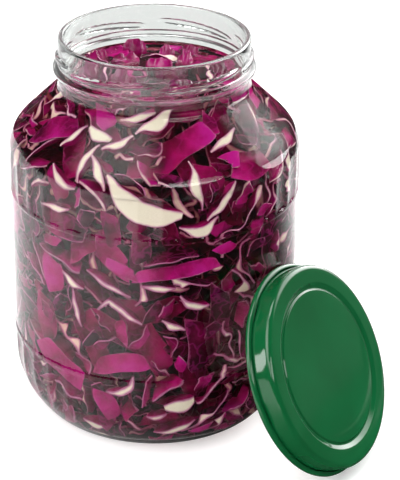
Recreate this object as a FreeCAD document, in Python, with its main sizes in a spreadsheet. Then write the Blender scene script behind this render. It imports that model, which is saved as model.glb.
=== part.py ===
"""A glass canning jar of shredded red cabbage in brine, with its twist-off cap leaning on it.

Millimetres, +Z up. The origin is on the jar's axis, on the surface that it stands on.
The cap leans on the jar's wall on the -Y side, open side to the jar.
"""
import FreeCAD, Part
from dataclasses import dataclass
import math
import os
import Sketcher

SHEET = "Sizes"
OUT = "parts"
SHRED_SIZES = ("width", "length", "bend", "rise")

# alias: (value, what it is). Lengths in millimetres, angles in degrees. A drop is
# measured down from the top of the lip.
DIMENSIONS = {
    "jar_height": (163.0, "floor to the top of the lip"),
    "band_radius": (59.2, "outside of the fluted grip bands, the widest part"),
    "wall": (2.7, "glass of the side wall"),
    "floor_glass": (4.5, "glass of the bottom"),
    "label_recess": (0.4, "depth of the plain label panel between the bands"),
    "label_step": (0.8, "height of the slope from a band to the label panel"),
    "label_bottom": (38.0, "height where the label panel starts"),
    "label_top_drop": (63.6, "drop to where the label panel ends"),
    "heel_run": (12.8, "how far in the heel's slope meets the floor"),
    "heel_rise": (16.2, "height where the heel's slope meets the wall"),
    "heel_bend": (39.0, "radius of the bend from the wall into the heel"),
    "foot_bend": (13.0, "radius of the bend from the heel to the foot ring"),
    "foot_width": (8.4, "width of the ring that the jar stands on"),
    "push_up": (3.5, "rise of the bottom inside the foot ring"),
    "push_up_run": (5.0, "width of the slope up from the foot ring"),
    "shoulder_drop": (40.7, "drop to where the shoulder's slope meets the wall"),
    "shoulder_bend": (17.0, "radius of the shoulder's bend"),
    "neck_radius": (38.4, "outside of the neck and the lip"),
    "neck_wall": (2.4, "glass of the neck"),
    "neck_drop": (20.4, "drop to where the shoulder's slope meets the neck"),
    "neck_bend": (5.0, "radius of the hollow bend under the neck"),
    "lip_bend": (1.1, "radius of the lip's edges"),
    "bead_drop": (13.0, "drop to the middle of the ring below the threads"),
    "bead_depth": (2.2, "how far the ring stands out from the neck"),
    "bead_width": (3.2, "height of the ring where it meets the neck"),
    "bead_crown": (1.6, "height of the ring's outer face"),
    "bead_bend": (0.7, "radius of the ring's two edges"),
    "lug_drop": (8.4, "drop to a thread's middle"),
    "lug_depth": (1.4, "how far a thread stands out from the neck"),
    "lug_radius": (1.4, "radius of a thread's round section"),
    "lug_inset": (8.4, "how much tighter than the neck a thread is bent"),
    "lug_sweep": (92.0, "angle of a thread's own bend"),
    "lug_slope": (3.9, "rise of a thread, as an angle"),
    "lug_start": (1.0, "angle about the axis of the first thread"),
    "lug_count": (6, "threads on the neck and lugs in the cap"),
    "flute_count": (36, "flutes round each grip band"),
    "flute_start": (8.4, "angle about the axis of the first flute"),
    "flute_depth": (0.55, "depth of a flute"),
    "flute_land": (0.32, "width left between two flutes"),
    "flute_rise": (5.7, "how far past the shoulder's start the upper flutes are cut"),
    "flute_end_gap": (1.2, "band left plain between the flutes and the label panel"),
    "heel_flute_angle": (30.0, "how far down the heel's bend the lower flutes run"),
    "headspace": (17.0, "drop to the level of the brine"),
    "leaf_thickness": (1.2, "a cabbage leaf that stands out of the brine"),
    "rib_thickness": (2.8, "a piece of leaf rib that stands out of the brine"),
    "cabbage_gap": (1.2, "brine between the glass and the packed cabbage"),
    "cabbage_drop": (8.0, "brine over the packed cabbage"),
    "hollow_radius": (15.0, "radius of the hollows between lumps of cabbage"),
    "hollow_depth": (3.2, "depth of those hollows"),
    "leaf_clearance": (4.0, "kept free between the mouth and a piece's middle"),
    "cap_height": (10.5, "open edge to the top of the cap"),
    "cap_sheet": (0.4, "thickness of the cap's steel"),
    "cap_clearance": (1.0, "between the threads and the inside of the cap's skirt"),
    "skirt_bend": (2.2, "radius of the cap's shoulder"),
    "curl_radius": (1.3, "radius of the curl's round section"),
    "curl_inset": (0.15, "how far the curl reaches inside the skirt"),
    "cap_ring_inset": (2.4, "mouth to the inside of the raised ring over the seal"),
    "cap_groove_slope": (1.7, "width of the slope from the raised ring to the groove"),
    "cap_groove_width": (0.7, "flat width of the groove round the panel"),
    "cap_groove_depth": (1.0, "depth of the groove below the raised ring"),
    "panel_slope": (0.5, "width of the slope from the groove to the panel"),
    "panel_depth": (0.5, "depth of the middle panel below the raised ring"),
    "cap_lug_catch": (0.7, "how far a cap's lug reaches in under a thread"),
    "cap_lug_radius": (1.2, "radius of a lug's round section"),
    "cap_lug_angle": (15.0, "how far round one lug runs"),
    "seal_thickness": (1.1, "thickness of the sealing ring"),
    "seal_clearance": (0.4, "between the sealing ring and the bend of the cap's shoulder"),
    "cap_lean": (63.0, "angle between the cap's panel and the floor"),
    "cap_offset": (-11.0, "how far the cap stands to one side of the jar's middle"),
    "cap_gap": (0.25, "clearance between the cap's curl and the jar"),
}

# Rows of hollows in the side of the packed cabbage, hollows in a row and in its top.
HOLLOW_ROWS = 5
HOLLOWS_IN_ROW = 13
HOLLOWS_IN_TOP = 6

# Two lengths closer than this are the same one.
SAME_LENGTH = 1e-4
# How far a cutting tool reaches past the surface that it cuts.
CUT_PAST = 1.0


@dataclass(frozen=True)
class Shred:
    """A curved piece of cabbage that stands out of the brine.

    Its sizes go into the sheet under its name. Its place is a share of the way from the
    axis to the mouth and an angle about the axis; its hollow back faces away from heading,
    and it leans back by lean.
    """
    width: float
    length: float
    bend: float
    rise: float
    share: float
    around: float
    heading: float
    lean: float


SHREDS = {
    "leaf_1": Shred(10.5, 10.0, 16.0, 4.6, 0.89, 46.0, 226.0, 20.0),
    "leaf_2": Shred(8.0, 8.0, 12.0, 2.5, 0.92, 1.0, 190.0, 35.0),
    "leaf_3": Shred(7.0, 9.0, 10.0, 3.2, 0.72, 17.0, 215.0, 40.0),
    "leaf_4": Shred(12.0, 10.0, 12.0, 3.0, 0.25, 15.0, 205.0, 45.0),
    "leaf_5": Shred(9.0, 9.0, 14.0, 2.6, 0.91, 79.0, 240.0, 40.0),
    "leaf_6": Shred(11.0, 12.0, 25.0, 1.5, 0.61, 66.0, 210.0, 70.0),
    "leaf_7": Shred(12.0, 10.0, 12.0, 3.4, 0.53, 160.0, 200.0, 30.0),
    "leaf_8": Shred(11.0, 11.0, 15.0, 2.4, 0.59, -112.0, 230.0, 50.0),
    "leaf_9": Shred(11.0, 10.0, 13.0, 3.0, 0.78, 122.0, 250.0, 45.0),
    "rib_1": Shred(7.0, 13.0, 20.0, 2.8, 0.60, -9.0, 200.0, 55.0),
    "rib_2": Shred(8.0, 13.0, 22.0, 2.2, 0.78, -62.0, 180.0, 60.0),
}


class Size:
    """A length as a number and as the expression over the sheet that gives it."""

    def __init__(self, number, text):
        self.number = float(number)
        self.text = text

    def _with(self, other, sign, number):
        other_text = other.text if isinstance(other, Size) else repr(other)
        return Size(number, f"({self.text} {sign} {other_text})")

    def __add__(self, other):
        return self._with(other, "+", self.number + float(other))

    def __sub__(self, other):
        return self._with(other, "-", self.number - float(other))

    def __mul__(self, other):
        return self._with(other, "*", self.number * float(other))

    def __truediv__(self, other):
        return self._with(other, "/", self.number / float(other))

    def __float__(self):
        return self.number

    def root(self):
        return Size(math.sqrt(self.number), f"sqrt({self.text})")

    def sine(self):
        """The sine of this number of degrees."""
        return Size(math.sin(math.radians(self.number)), f"sin({self.text} * 1 deg)")


def cell(alias):
    """One driving dimension."""
    return Size(DIMENSIONS[alias][0], f"{SHEET}.{alias}")


def shred_cell(name, size):
    """One size of a piece that stands out of the brine."""
    return Size(getattr(SHREDS[name], size), f"{SHEET}.{name}_{size}")


ZERO = Size(0.0, "0")


def from_top(alias):
    """The height of what is dropped from the top of the lip by this much."""
    return cell("jar_height") - cell(alias)


def label_radius():
    return cell("band_radius") - cell("label_recess")


def foot_radius():
    """Where the heel's slope meets the floor."""
    return cell("band_radius") - cell("heel_run")


def push_up_radius():
    """The flat in the middle of the bottom."""
    return foot_radius() - cell("foot_width") - cell("push_up_run")


def mouth_radius():
    return cell("neck_radius") - cell("neck_wall")


def lug_reach():
    """The outside of the threads, which the cap fits over."""
    return cell("neck_radius") + cell("lug_depth")


def skirt_inside():
    """The inside of the cap's skirt."""
    return lug_reach() + cell("cap_clearance")


def curl_reach():
    """The outside of the cap's curl, its widest part."""
    return skirt_inside() - cell("curl_inset") + cell("curl_radius") * 2


def cap_ring_radius():
    """The inside of the raised ring that holds the seal over the lip."""
    return mouth_radius() - cell("cap_ring_inset")


doc = FreeCAD.newDocument("canning_jar")


def make_sheet():
    sheet = doc.addObject("Spreadsheet::Sheet", SHEET)
    rows = dict(DIMENSIONS)
    for name, shred in SHREDS.items():
        for size in SHRED_SIZES:
            rows[f"{name}_{size}"] = (getattr(shred, size), f"{size} of {name}")
    for row, (alias, (value, meaning)) in enumerate(rows.items(), start=1):
        sheet.set(f"A{row}", meaning)
        sheet.set(f"B{row}", str(value))
        sheet.setAlias(f"B{row}", alias)
    doc.recompute()


def bind(thing, **expressions):
    """Bind properties to the sheet; a double underscore in a name stands for a dot."""
    for name, size in expressions.items():
        thing.setExpression(name.replace("__", "."), size.text)


def new_body(name):
    body = doc.addObject("PartDesign::Body", name)
    body.Label = name
    return body


def origin_plane(body, role):
    return next(f for f in body.Origin.OriginFeatures if f.Role == role)


def origin_axis(body, role):
    return (origin_plane(body, role), [""])


def new_sketch(body, name, role, height=None):
    """A sketch on one of the body's own planes, raised to a height where one is given."""
    sketch = body.newObject("Sketcher::SketchObject", name)
    sketch.AttachmentSupport = (origin_plane(body, role), [""])
    sketch.MapMode = "FlatFace"
    if height is not None:
        bind(sketch, AttachmentOffset__Base__z=height)
    return sketch


def fix_point(sketch, line, end, across, up):
    """Hold one end of a line or arc at two sizes from the sketch's origin."""
    for kind, size in (("DistanceX", across), ("DistanceY", up)):
        number = sketch.addConstraint(
            Sketcher.Constraint(kind, -1, 1, line, end, size.number))
        if size.text != "0":
            sketch.setExpression(f"Constraints[{number}]", size.text)


def polygon(sketch, corners):
    """Draw a closed outline with straight sides through corners of (across, up)."""
    points = [FreeCAD.Vector(a.number, u.number, 0) for a, u in corners]
    count = len(points)
    lines = [sketch.addGeometry(Part.LineSegment(points[i], points[(i + 1) % count]), False)
             for i in range(count)]
    for i, line in enumerate(lines):
        sketch.addConstraint(
            Sketcher.Constraint("Coincident", line, 2, lines[(i + 1) % count], 1))
        fix_point(sketch, line, 1, *corners[i])


def turned(body, name, corners):
    """Add a solid of revolution about the Z axis, from corners of (radius, height)."""
    sketch = new_sketch(body, f"{name}_outline", "XZ_Plane")
    polygon(sketch, corners)
    turn = body.newObject("PartDesign::Revolution", name)
    turn.Profile = sketch
    turn.ReferenceAxis = origin_axis(body, "Z_Axis")
    turn.Angle = 360
    sketch.Visibility = False
    doc.recompute()
    return turn


def ring_edges(feature, radius, height):
    """Names of the feature's circular edges at a radius and height about the axis."""
    names = []
    for number, edge in enumerate(feature.Shape.Edges, start=1):
        curve = edge.Curve
        if (isinstance(curve, Part.Circle)
                and abs(curve.Radius - float(radius)) < SAME_LENGTH
                and abs(curve.Center.z - float(height)) < SAME_LENGTH):
            names.append(f"Edge{number}")
    if not names:
        raise ValueError(f"no ring edge at radius {float(radius)}, height {float(height)}")
    return names


def round_ring(body, name, radius, height, bend):
    """Round the ring edges at a radius and height."""
    base = body.Tip
    fillet = body.newObject("PartDesign::Fillet", name)
    fillet.Base = (base, ring_edges(base, radius, height))
    bind(fillet, Radius=bend)
    doc.recompute()
    return fillet


def ring_section(body, name, reach, section, angle=None):
    """Add a round ring, or an arc of one, whose outside is at reach."""
    torus = body.newObject("PartDesign::AdditiveTorus", name)
    bind(torus, Radius1=reach - section, Radius2=section)
    if angle is not None:
        bind(torus, Angle3=angle)
    return torus


def repeat(body, name, originals, count):
    """Repeat features about the Z axis."""
    pattern = body.newObject("PartDesign::PolarPattern", name)
    pattern.Originals = originals
    pattern.Axis = origin_axis(body, "Z_Axis")
    pattern.Angle = 360
    bind(pattern, Occurrences=count)
    body.Tip = pattern
    doc.recompute()
    return pattern


def about_z(degrees):
    return FreeCAD.Rotation(FreeCAD.Vector(0, 0, 1), degrees)


def turn_sketch(sketch, degrees):
    """Turn a sketch about the jar's axis, and so what is made from it."""
    sketch.AttachmentOffset = FreeCAD.Placement(sketch.AttachmentOffset.Base, about_z(degrees))
    doc.recompute()


def flute_cutter(body, name, height, axis_radius=None):
    """Sketch the section that cuts one flute: an arc that meets the band at two lands.

    Where axis_radius is given, the sketch also holds the line that the heel bends round.
    """
    band, depth = cell("band_radius"), cell("flute_depth")
    half_pitch = (Size(180.0, "180") / cell("flute_count")).sine() * band
    edge = half_pitch - cell("flute_land") / 2
    edge_in = (band * band - edge * edge).root() - (band - depth)
    arc_radius = (edge_in * edge_in + edge * edge) / (edge_in * 2)
    # The arc runs on into the land, so that it crosses the band's surface.
    end = edge + cell("flute_land") / 4
    end_in = band - depth + arc_radius - (arc_radius * arc_radius - end * end).root()
    outside = band + CUT_PAST
    sketch = new_sketch(body, name, "XY_Plane", height)
    low = Size(-end.number, f"-{end.text}")
    corners = [(end_in, low), (outside, low), (outside, end), (end_in, end)]
    points = [FreeCAD.Vector(a.number, u.number, 0) for a, u in corners]
    lines = [sketch.addGeometry(Part.LineSegment(points[i], points[i + 1]), False)
             for i in range(3)]
    middle = FreeCAD.Vector((band - depth).number, 0, 0)
    arc = sketch.addGeometry(Part.Arc(points[3], middle, points[0]), False)
    for i, line in enumerate(lines):
        fix_point(sketch, line, 1, *corners[i])
    fix_point(sketch, lines[2], 2, *corners[3])
    for first, second in ((0, 1), (1, 2)):
        sketch.addConstraint(Sketcher.Constraint("Coincident", lines[first], 2, lines[second], 1))
    turned_over = sketch.Geometry[arc].StartPoint.y < 0
    first_end, last_end = (1, 2) if turned_over else (2, 1)
    sketch.addConstraint(Sketcher.Constraint("Coincident", lines[0], 1, arc, first_end))
    sketch.addConstraint(Sketcher.Constraint("Coincident", lines[2], 2, arc, last_end))
    number = sketch.addConstraint(Sketcher.Constraint("Radius", arc, arc_radius.number))
    sketch.setExpression(f"Constraints[{number}]", arc_radius.text)
    if axis_radius is not None:
        ends = [(axis_radius, low), (axis_radius, end)]
        line = sketch.addGeometry(Part.LineSegment(
            *[FreeCAD.Vector(a.number, u.number, 0) for a, u in ends]), True)
        fix_point(sketch, line, 1, *ends[0])
        fix_point(sketch, line, 2, *ends[1])
    return sketch


def make_outside():
    """The jar's outside as a solid, with its grip bands and neck ring."""
    body = new_body("jar_outside")
    band, neck, height = cell("band_radius"), cell("neck_radius"), cell("jar_height")
    label, step = label_radius(), cell("label_step")
    bottom, top = cell("label_bottom"), from_top("label_top_drop")
    foot, rise = foot_radius(), cell("heel_rise")
    shoulder, neck_rise = from_top("shoulder_drop"), from_top("neck_drop")
    bead, bead_reach = from_top("bead_drop"), neck + cell("bead_depth")
    width, crown = cell("bead_width"), cell("bead_crown")
    turned(body, "blown_form", [
        (ZERO, cell("push_up")),
        (push_up_radius(), cell("push_up")),
        (foot - cell("foot_width"), ZERO),
        (foot, ZERO),
        (band, rise),
        (band, bottom),
        (label, bottom + step),
        (label, top - step),
        (band, top),
        (band, shoulder),
        (neck, neck_rise),
        (neck, bead - width / 2),
        (bead_reach, bead - crown / 2),
        (bead_reach, bead + crown / 2),
        (neck, bead + width / 2),
        (neck, height),
        (ZERO, height),
    ])
    round_ring(body, "heel", band, rise, cell("heel_bend"))
    round_ring(body, "foot", foot, ZERO, cell("foot_bend"))
    round_ring(body, "shoulder", band, shoulder, cell("shoulder_bend"))
    round_ring(body, "neck_hollow", neck, neck_rise, cell("neck_bend"))
    for name, edge in (("bead_under", bead - crown / 2), ("bead_over", bead + crown / 2)):
        round_ring(body, name, bead_reach, edge, cell("bead_bend"))
    round_ring(body, "lip", neck, height, cell("lip_bend"))
    cut_flutes(body)
    return body


def cut_flutes(body):
    """Cut the flutes of both grip bands, the upper ones up into the shoulder."""
    band, rise, gap = cell("band_radius"), cell("heel_rise"), cell("flute_end_gap")
    start = from_top("label_top_drop") + gap
    cutter = flute_cutter(body, "upper_flute_section", start)
    upper = body.newObject("PartDesign::Pocket", "upper_flute")
    upper.Profile = cutter
    upper.Reversed = True
    bind(upper, Length=from_top("shoulder_drop") + cell("flute_rise") - start)
    turn_sketch(cutter, cell("flute_start").number)
    repeat(body, "upper_flutes", [upper], cell("flute_count"))

    # The heel's bend starts where the wall's straight part ends.
    run = cell("heel_run")
    slope_length = (run * run + rise * rise).root()
    bend_start = rise + cell("heel_bend") * (slope_length - rise) / run
    cutter = flute_cutter(body, "lower_flute_section", bend_start, band - cell("heel_bend"))
    lower = body.newObject("PartDesign::Pocket", "lower_flute")
    lower.Profile = cutter
    lower.Reversed = True
    bind(lower, Length=cell("label_bottom") - gap - bend_start)
    turn_sketch(cutter, cell("flute_start").number)
    heel = body.newObject("PartDesign::Groove", "heel_flute")
    heel.Profile = cutter
    heel.ReferenceAxis = (cutter, ["Axis0"])
    bind(heel, Angle=cell("heel_flute_angle"))
    doc.recompute()
    repeat(body, "lower_flutes", [lower, heel], cell("flute_count"))


def make_threads():
    """The threads: tilted arcs of a ring bent tighter than the neck, so their ends sink in."""
    section, bow = cell("lug_radius"), cell("neck_radius") - cell("lug_inset")
    height = from_top("lug_drop")
    tilt = FreeCAD.Rotation(FreeCAD.Vector(1, 0, 0), cell("lug_slope").number)
    start = about_z(-cell("lug_sweep").number / 2)
    off_axis = FreeCAD.Vector((lug_reach() - section - bow).number, 0, 0)
    count = int(cell("lug_count").number)
    threads = []
    for number in range(count):
        facing = about_z(cell("lug_start").number + 360.0 * number / count)
        thread = doc.addObject("Part::Torus", f"thread_{number + 1}")
        bind(thread, Radius1=bow, Radius2=section, Angle3=cell("lug_sweep"))
        middle = facing.multVec(off_axis) + FreeCAD.Vector(0, 0, height.number)
        thread.Placement = FreeCAD.Placement(middle, facing.multiply(tilt).multiply(start))
        threads.append(thread)
    return threads


def join(name, parts):
    """Several objects made one."""
    joined = doc.addObject("Part::MultiFuse", name)
    joined.Shapes = parts
    doc.recompute()
    return joined


def make_inside(name, gap):
    """The space inside the glass, up past the lip, kept off the glass by a gap."""
    body = new_body(f"jar_{name}")
    wall, floor = cell("wall") + gap, cell("floor_glass") + gap
    band, mouth = cell("band_radius"), mouth_radius() - gap
    inner = band - wall
    top, lip = cell("jar_height"), cell("lip_bend")
    rise, shoulder = cell("heel_rise"), from_top("shoulder_drop")
    # The slopes of the heel and the shoulder are the outside's, moved in by the wall.
    heel_run = cell("heel_run")
    heel_slope = (heel_run * heel_run + rise * rise).root()
    inner_rise = rise + wall * (heel_slope - rise) / heel_run
    inner_foot = foot_radius() + (floor * heel_run - wall * heel_slope) / rise
    run, fall = band - cell("neck_radius"), from_top("neck_drop") - shoulder
    slope = (run * run + fall * fall).root()
    inner_shoulder = shoulder - wall * (slope - fall) / run
    inner_neck = shoulder + ((band - mouth) * fall - wall * slope) / run
    turned(body, f"{name}_form", [
        (ZERO, cell("push_up") + floor),
        (push_up_radius(), cell("push_up") + floor),
        (inner_foot, floor),
        (inner, inner_rise),
        (inner, inner_shoulder),
        (mouth, inner_neck),
        (mouth, top - lip),
        (mouth + lip, top),
        (mouth + lip, top + lip),
        (ZERO, top + lip),
    ])
    round_ring(body, f"{name}_heel", inner, inner_rise, cell("heel_bend") - wall)
    round_ring(body, f"{name}_foot", inner_foot, floor, cell("foot_bend") - wall)
    round_ring(body, f"{name}_shoulder", inner, inner_shoulder, cell("shoulder_bend") - wall)
    round_ring(body, f"{name}_neck", mouth, inner_neck, cell("neck_bend") + wall)
    round_ring(body, f"{name}_edge", mouth, top - lip, lip)
    return body


def combine(kind, name, base, tool):
    """A boolean of two objects."""
    result = doc.addObject(kind, name)
    result.Label = name
    result.Base, result.Tool = base, tool
    doc.recompute()
    return result


def make_shred(name):
    """A strip of a thick pipe wall, which is a curled leaf, standing partly in the brine."""
    shred = SHREDS[name]
    thickness = cell("rib_thickness" if name.startswith("rib") else "leaf_thickness")
    bend, length = shred_cell(name, "bend"), shred_cell(name, "length")
    sweep = shred_cell(name, "width") / bend * (180.0 / math.pi)
    lean, around = math.radians(shred.lean), math.radians(shred.around)
    out = shred.share * (mouth_radius() - cell("leaf_clearance")).number
    top = from_top("headspace").number + shred.rise
    middle = FreeCAD.Vector(out * math.cos(around), out * math.sin(around),
                            top - length.number / 2 * math.cos(lean))
    turn = about_z(shred.heading).multiply(
        FreeCAD.Rotation(FreeCAD.Vector(0, 1, 0), -shred.lean))
    start = FreeCAD.Vector(-bend.number, 0, -length.number / 2)
    place = FreeCAD.Placement(middle + turn.multVec(start),
                              turn.multiply(about_z(-sweep.number / 2)))
    walls = []
    for part, radius in (("face", bend), ("back", bend - thickness)):
        pipe = doc.addObject("Part::Cylinder", f"{name}_{part}")
        bind(pipe, Radius=radius, Height=length, Angle=sweep)
        pipe.Placement = place
        walls.append(pipe)
    return combine("Part::Cut", name, *walls)


def fill_to(name, space, level):
    """What fills a space up to a level."""
    room = doc.addObject("Part::Cylinder", f"below_{name}_level")
    bind(room, Radius=cell("band_radius"), Height=level)
    return combine("Part::Common", f"{name}_space", space, room)


def hollow(name, out, around, height):
    """A ball that cuts one hollow, so far from the axis at an angle and a height."""
    ball = doc.addObject("Part::Sphere", name)
    bind(ball, Radius=cell("hollow_radius"))
    turn = math.radians(around)
    ball.Placement.Base = FreeCAD.Vector(out * math.cos(turn), out * math.sin(turn), height)
    return ball


def make_cabbage():
    """The packed cabbage as one mass, with hollows between its lumps that hold brine."""
    level = from_top("headspace") - cell("cabbage_drop")
    mass = fill_to("cabbage", make_inside("cabbage", cell("cabbage_gap")), level)
    radius, depth = cell("hollow_radius").number, cell("hollow_depth").number
    side = (cell("band_radius") - cell("wall") - cell("cabbage_gap")).number
    low, high = cell("heel_rise").number + radius, from_top("shoulder_drop").number - radius / 2
    pitch = 360 / HOLLOWS_IN_ROW
    balls = []
    for row in range(HOLLOW_ROWS):
        height = low + (high - low) * row / (HOLLOW_ROWS - 1)
        for place in range(HOLLOWS_IN_ROW):
            around = (place + row % 2 / 2) * pitch
            balls.append(hollow(f"side_hollow_{row}_{place}", side + radius - depth, around,
                                height))
    ring = mouth_radius().number / 2
    for place in range(HOLLOWS_IN_TOP):
        balls.append(hollow(f"top_hollow_{place}", ring, place * 360 / HOLLOWS_IN_TOP,
                            level.number + radius - depth))
    return combine("Part::Cut", "cabbage", mass, join("hollows", balls))


def make_brine(cavity, sunk):
    """The brine up to its level, cut round the cabbage that is in it."""
    filled = fill_to("brine", cavity, from_top("headspace"))
    return combine("Part::Cut", "brine", filled, join("sunk_cabbage", sunk))


def make_cap():
    """The pressed steel cap, open side down: panel, seal ring, skirt, curl and lugs."""
    body = new_body("cap")
    sheet, height, curl = cell("cap_sheet"), cell("cap_height"), cell("curl_radius")
    skirt, ring = skirt_inside() + sheet, cap_ring_radius()
    groove, flat = ring - cell("cap_groove_slope"), cell("cap_groove_width")
    panel = groove - flat - cell("panel_slope")
    low = height - cell("cap_groove_depth")
    middle = height - cell("panel_depth")
    # The inner face of a slope is moved sideways by half the sheet.
    side = sheet / 2
    turned(body, "pressing", [
        (ZERO, middle),
        (panel, middle),
        (groove - flat, low),
        (groove, low),
        (ring, height),
        (skirt, height),
        (skirt, curl),
        (skirt - sheet, curl),
        (skirt - sheet, height - sheet),
        (ring + side, height - sheet),
        (groove + side, low - sheet),
        (groove - flat - side, low - sheet),
        (panel - side, middle - sheet),
        (ZERO, middle - sheet),
    ])
    round_ring(body, "cap_shoulder", skirt, height, cell("skirt_bend"))
    round_ring(body, "inner_cap_shoulder", skirt - sheet, height - sheet,
               cell("skirt_bend") - sheet)
    rolled = ring_section(body, "curl", curl_reach(), curl)
    bind(rolled, Placement__Base__z=curl)
    doc.recompute()
    section = cell("cap_lug_radius")
    lug = ring_section(body, "lug", lug_reach() - cell("cap_lug_catch") + section * 2,
                       section, cell("cap_lug_angle"))
    bind(lug, Placement__Base__z=curl)
    doc.recompute()
    repeat(body, "lugs", [lug], cell("lug_count"))
    return body


def make_seal():
    """The soft ring under the cap's raised ring, which the lip presses into."""
    body = new_body("cap_seal")
    sheet = cell("cap_sheet")
    top = cell("cap_height") - sheet
    low, inner = top - cell("seal_thickness"), cap_ring_radius() + sheet / 2
    outer = skirt_inside() + sheet - cell("skirt_bend") - cell("seal_clearance")
    turned(body, "seal", [(inner, low), (outer, low), (outer, top), (inner, top)])
    return body


def cap_place():
    """Where the cap stands: its curl's low point on the floor, its upper side at the jar."""
    lean = math.radians(cell("cap_lean").number)
    curl = cell("curl_radius").number
    ring = curl_reach().number - curl
    across = cell("cap_offset").number
    up = ring * math.sin(lean) - curl * math.cos(lean) + curl
    # The curl meets the label panel, or a grip band where the panel doesn't reach there.
    touch = up + ring * math.sin(lean)
    panel = cell("label_bottom").number < touch < from_top("label_top_drop").number
    wall = label_radius() if panel else cell("band_radius")
    clear = (wall + cell("cap_gap")).number + curl
    # The curl's middle line touches the jar's wall, made wider by the curl and the gap,
    # at whichever of its points gets there first.
    nearest = 0.0
    for degree in range(-90, 91):
        angle = math.radians(degree)
        sideways = across + ring * math.sin(angle)
        if abs(sideways) < clear:
            forward = ring * math.cos(angle) * math.cos(lean) - curl * math.sin(lean)
            nearest = max(nearest, math.sqrt(clear**2 - sideways**2) + forward)
    return FreeCAD.Placement(FreeCAD.Vector(across, -nearest, up),
                             FreeCAD.Rotation(FreeCAD.Vector(1, 0, 0), math.degrees(lean)))


def check_objects():
    """Stop where an object failed to compute."""
    for item in doc.Objects:
        if "Invalid" in item.State or "Error" in item.State:
            raise RuntimeError(f"{item.Name} failed: {item.State}")


def write_parts(nodes):
    """Write each node's shape under its own name, once all of them are sound."""
    for node in nodes:
        shape = node.Shape
        if shape.isNull() or not shape.isValid() or len(shape.Solids) != 1:
            raise RuntimeError(f"{node.Label} is not one sound solid")
    os.makedirs(OUT, exist_ok=True)
    for node in nodes:
        node.Shape.exportStep(f"{OUT}/{node.Label}.step")
        print(node.Label, f"{node.Shape.Volume / 1000:.3f} cm3")


def main():
    make_sheet()
    cavity = make_inside("cavity", ZERO)
    glass = join("glass_with_threads", [make_outside(), *make_threads()])
    jar = combine("Part::Cut", "jar", glass, cavity)
    shreds = [make_shred(name) for name in SHREDS]
    cabbage = make_cabbage()
    brine = make_brine(cavity, [cabbage, *shreds])
    cap, seal = make_cap(), make_seal()
    for leaning in (cap, seal):
        leaning.Placement = cap_place()
    doc.recompute()
    check_objects()
    write_parts([jar, brine, cabbage, *shreds, cap, seal])


main()
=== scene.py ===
"""A glass canning jar of shredded red cabbage in brine, with its twist-off cap leaning on it.

Metres, +Z up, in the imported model's frame: the origin is on the jar's axis, on the surface
that it stands on, and the cap leans on the wall on the -Y side. The sizes in the classes are
millimetres, as on a maker's drawing, and are turned to metres where the mesh is made.
"""

import logging
import math
from abc import ABC, abstractmethod
from collections.abc import Callable, Mapping, Sequence
from dataclasses import dataclass, field
from enum import Enum

import bmesh
import bpy
import numpy as np
from bpy.types import Material, NodeSocket, NodeTree, Object
from mathutils import Matrix, Vector
from numpy import ndarray

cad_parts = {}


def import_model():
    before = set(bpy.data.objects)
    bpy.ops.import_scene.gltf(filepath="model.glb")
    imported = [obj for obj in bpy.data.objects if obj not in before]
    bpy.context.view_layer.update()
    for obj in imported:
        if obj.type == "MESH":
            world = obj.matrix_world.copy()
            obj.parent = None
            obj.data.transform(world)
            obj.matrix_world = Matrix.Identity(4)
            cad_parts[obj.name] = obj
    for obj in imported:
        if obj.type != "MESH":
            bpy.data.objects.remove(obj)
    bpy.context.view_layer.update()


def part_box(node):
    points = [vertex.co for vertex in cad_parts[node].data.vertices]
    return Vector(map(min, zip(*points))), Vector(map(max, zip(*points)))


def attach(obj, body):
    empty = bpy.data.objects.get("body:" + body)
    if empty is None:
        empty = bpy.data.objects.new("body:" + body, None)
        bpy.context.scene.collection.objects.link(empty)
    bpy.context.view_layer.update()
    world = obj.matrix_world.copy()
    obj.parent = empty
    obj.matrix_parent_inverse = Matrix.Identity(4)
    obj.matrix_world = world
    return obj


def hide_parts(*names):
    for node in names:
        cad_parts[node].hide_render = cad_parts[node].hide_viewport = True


log = logging.getLogger("canning_jar")

MM = 0.001
FULL_TURN = math.tau
Pair = tuple[float, float]
Triple = tuple[float, float, float]
Outline = list[Pair]


# ---------------------------------------------------------------- colours and shader nodes

def linear(colour: str) -> tuple[float, ...]:
    """Turn an sRGB hex colour to linear light, with an alpha of 1."""
    parts = [int(colour[i:i + 2], 16) / 255 for i in (1, 3, 5)]
    return (*(c / 12.92 if c <= 0.04045 else ((c + 0.055) / 1.055) ** 2.4 for c in parts), 1.0)


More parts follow.
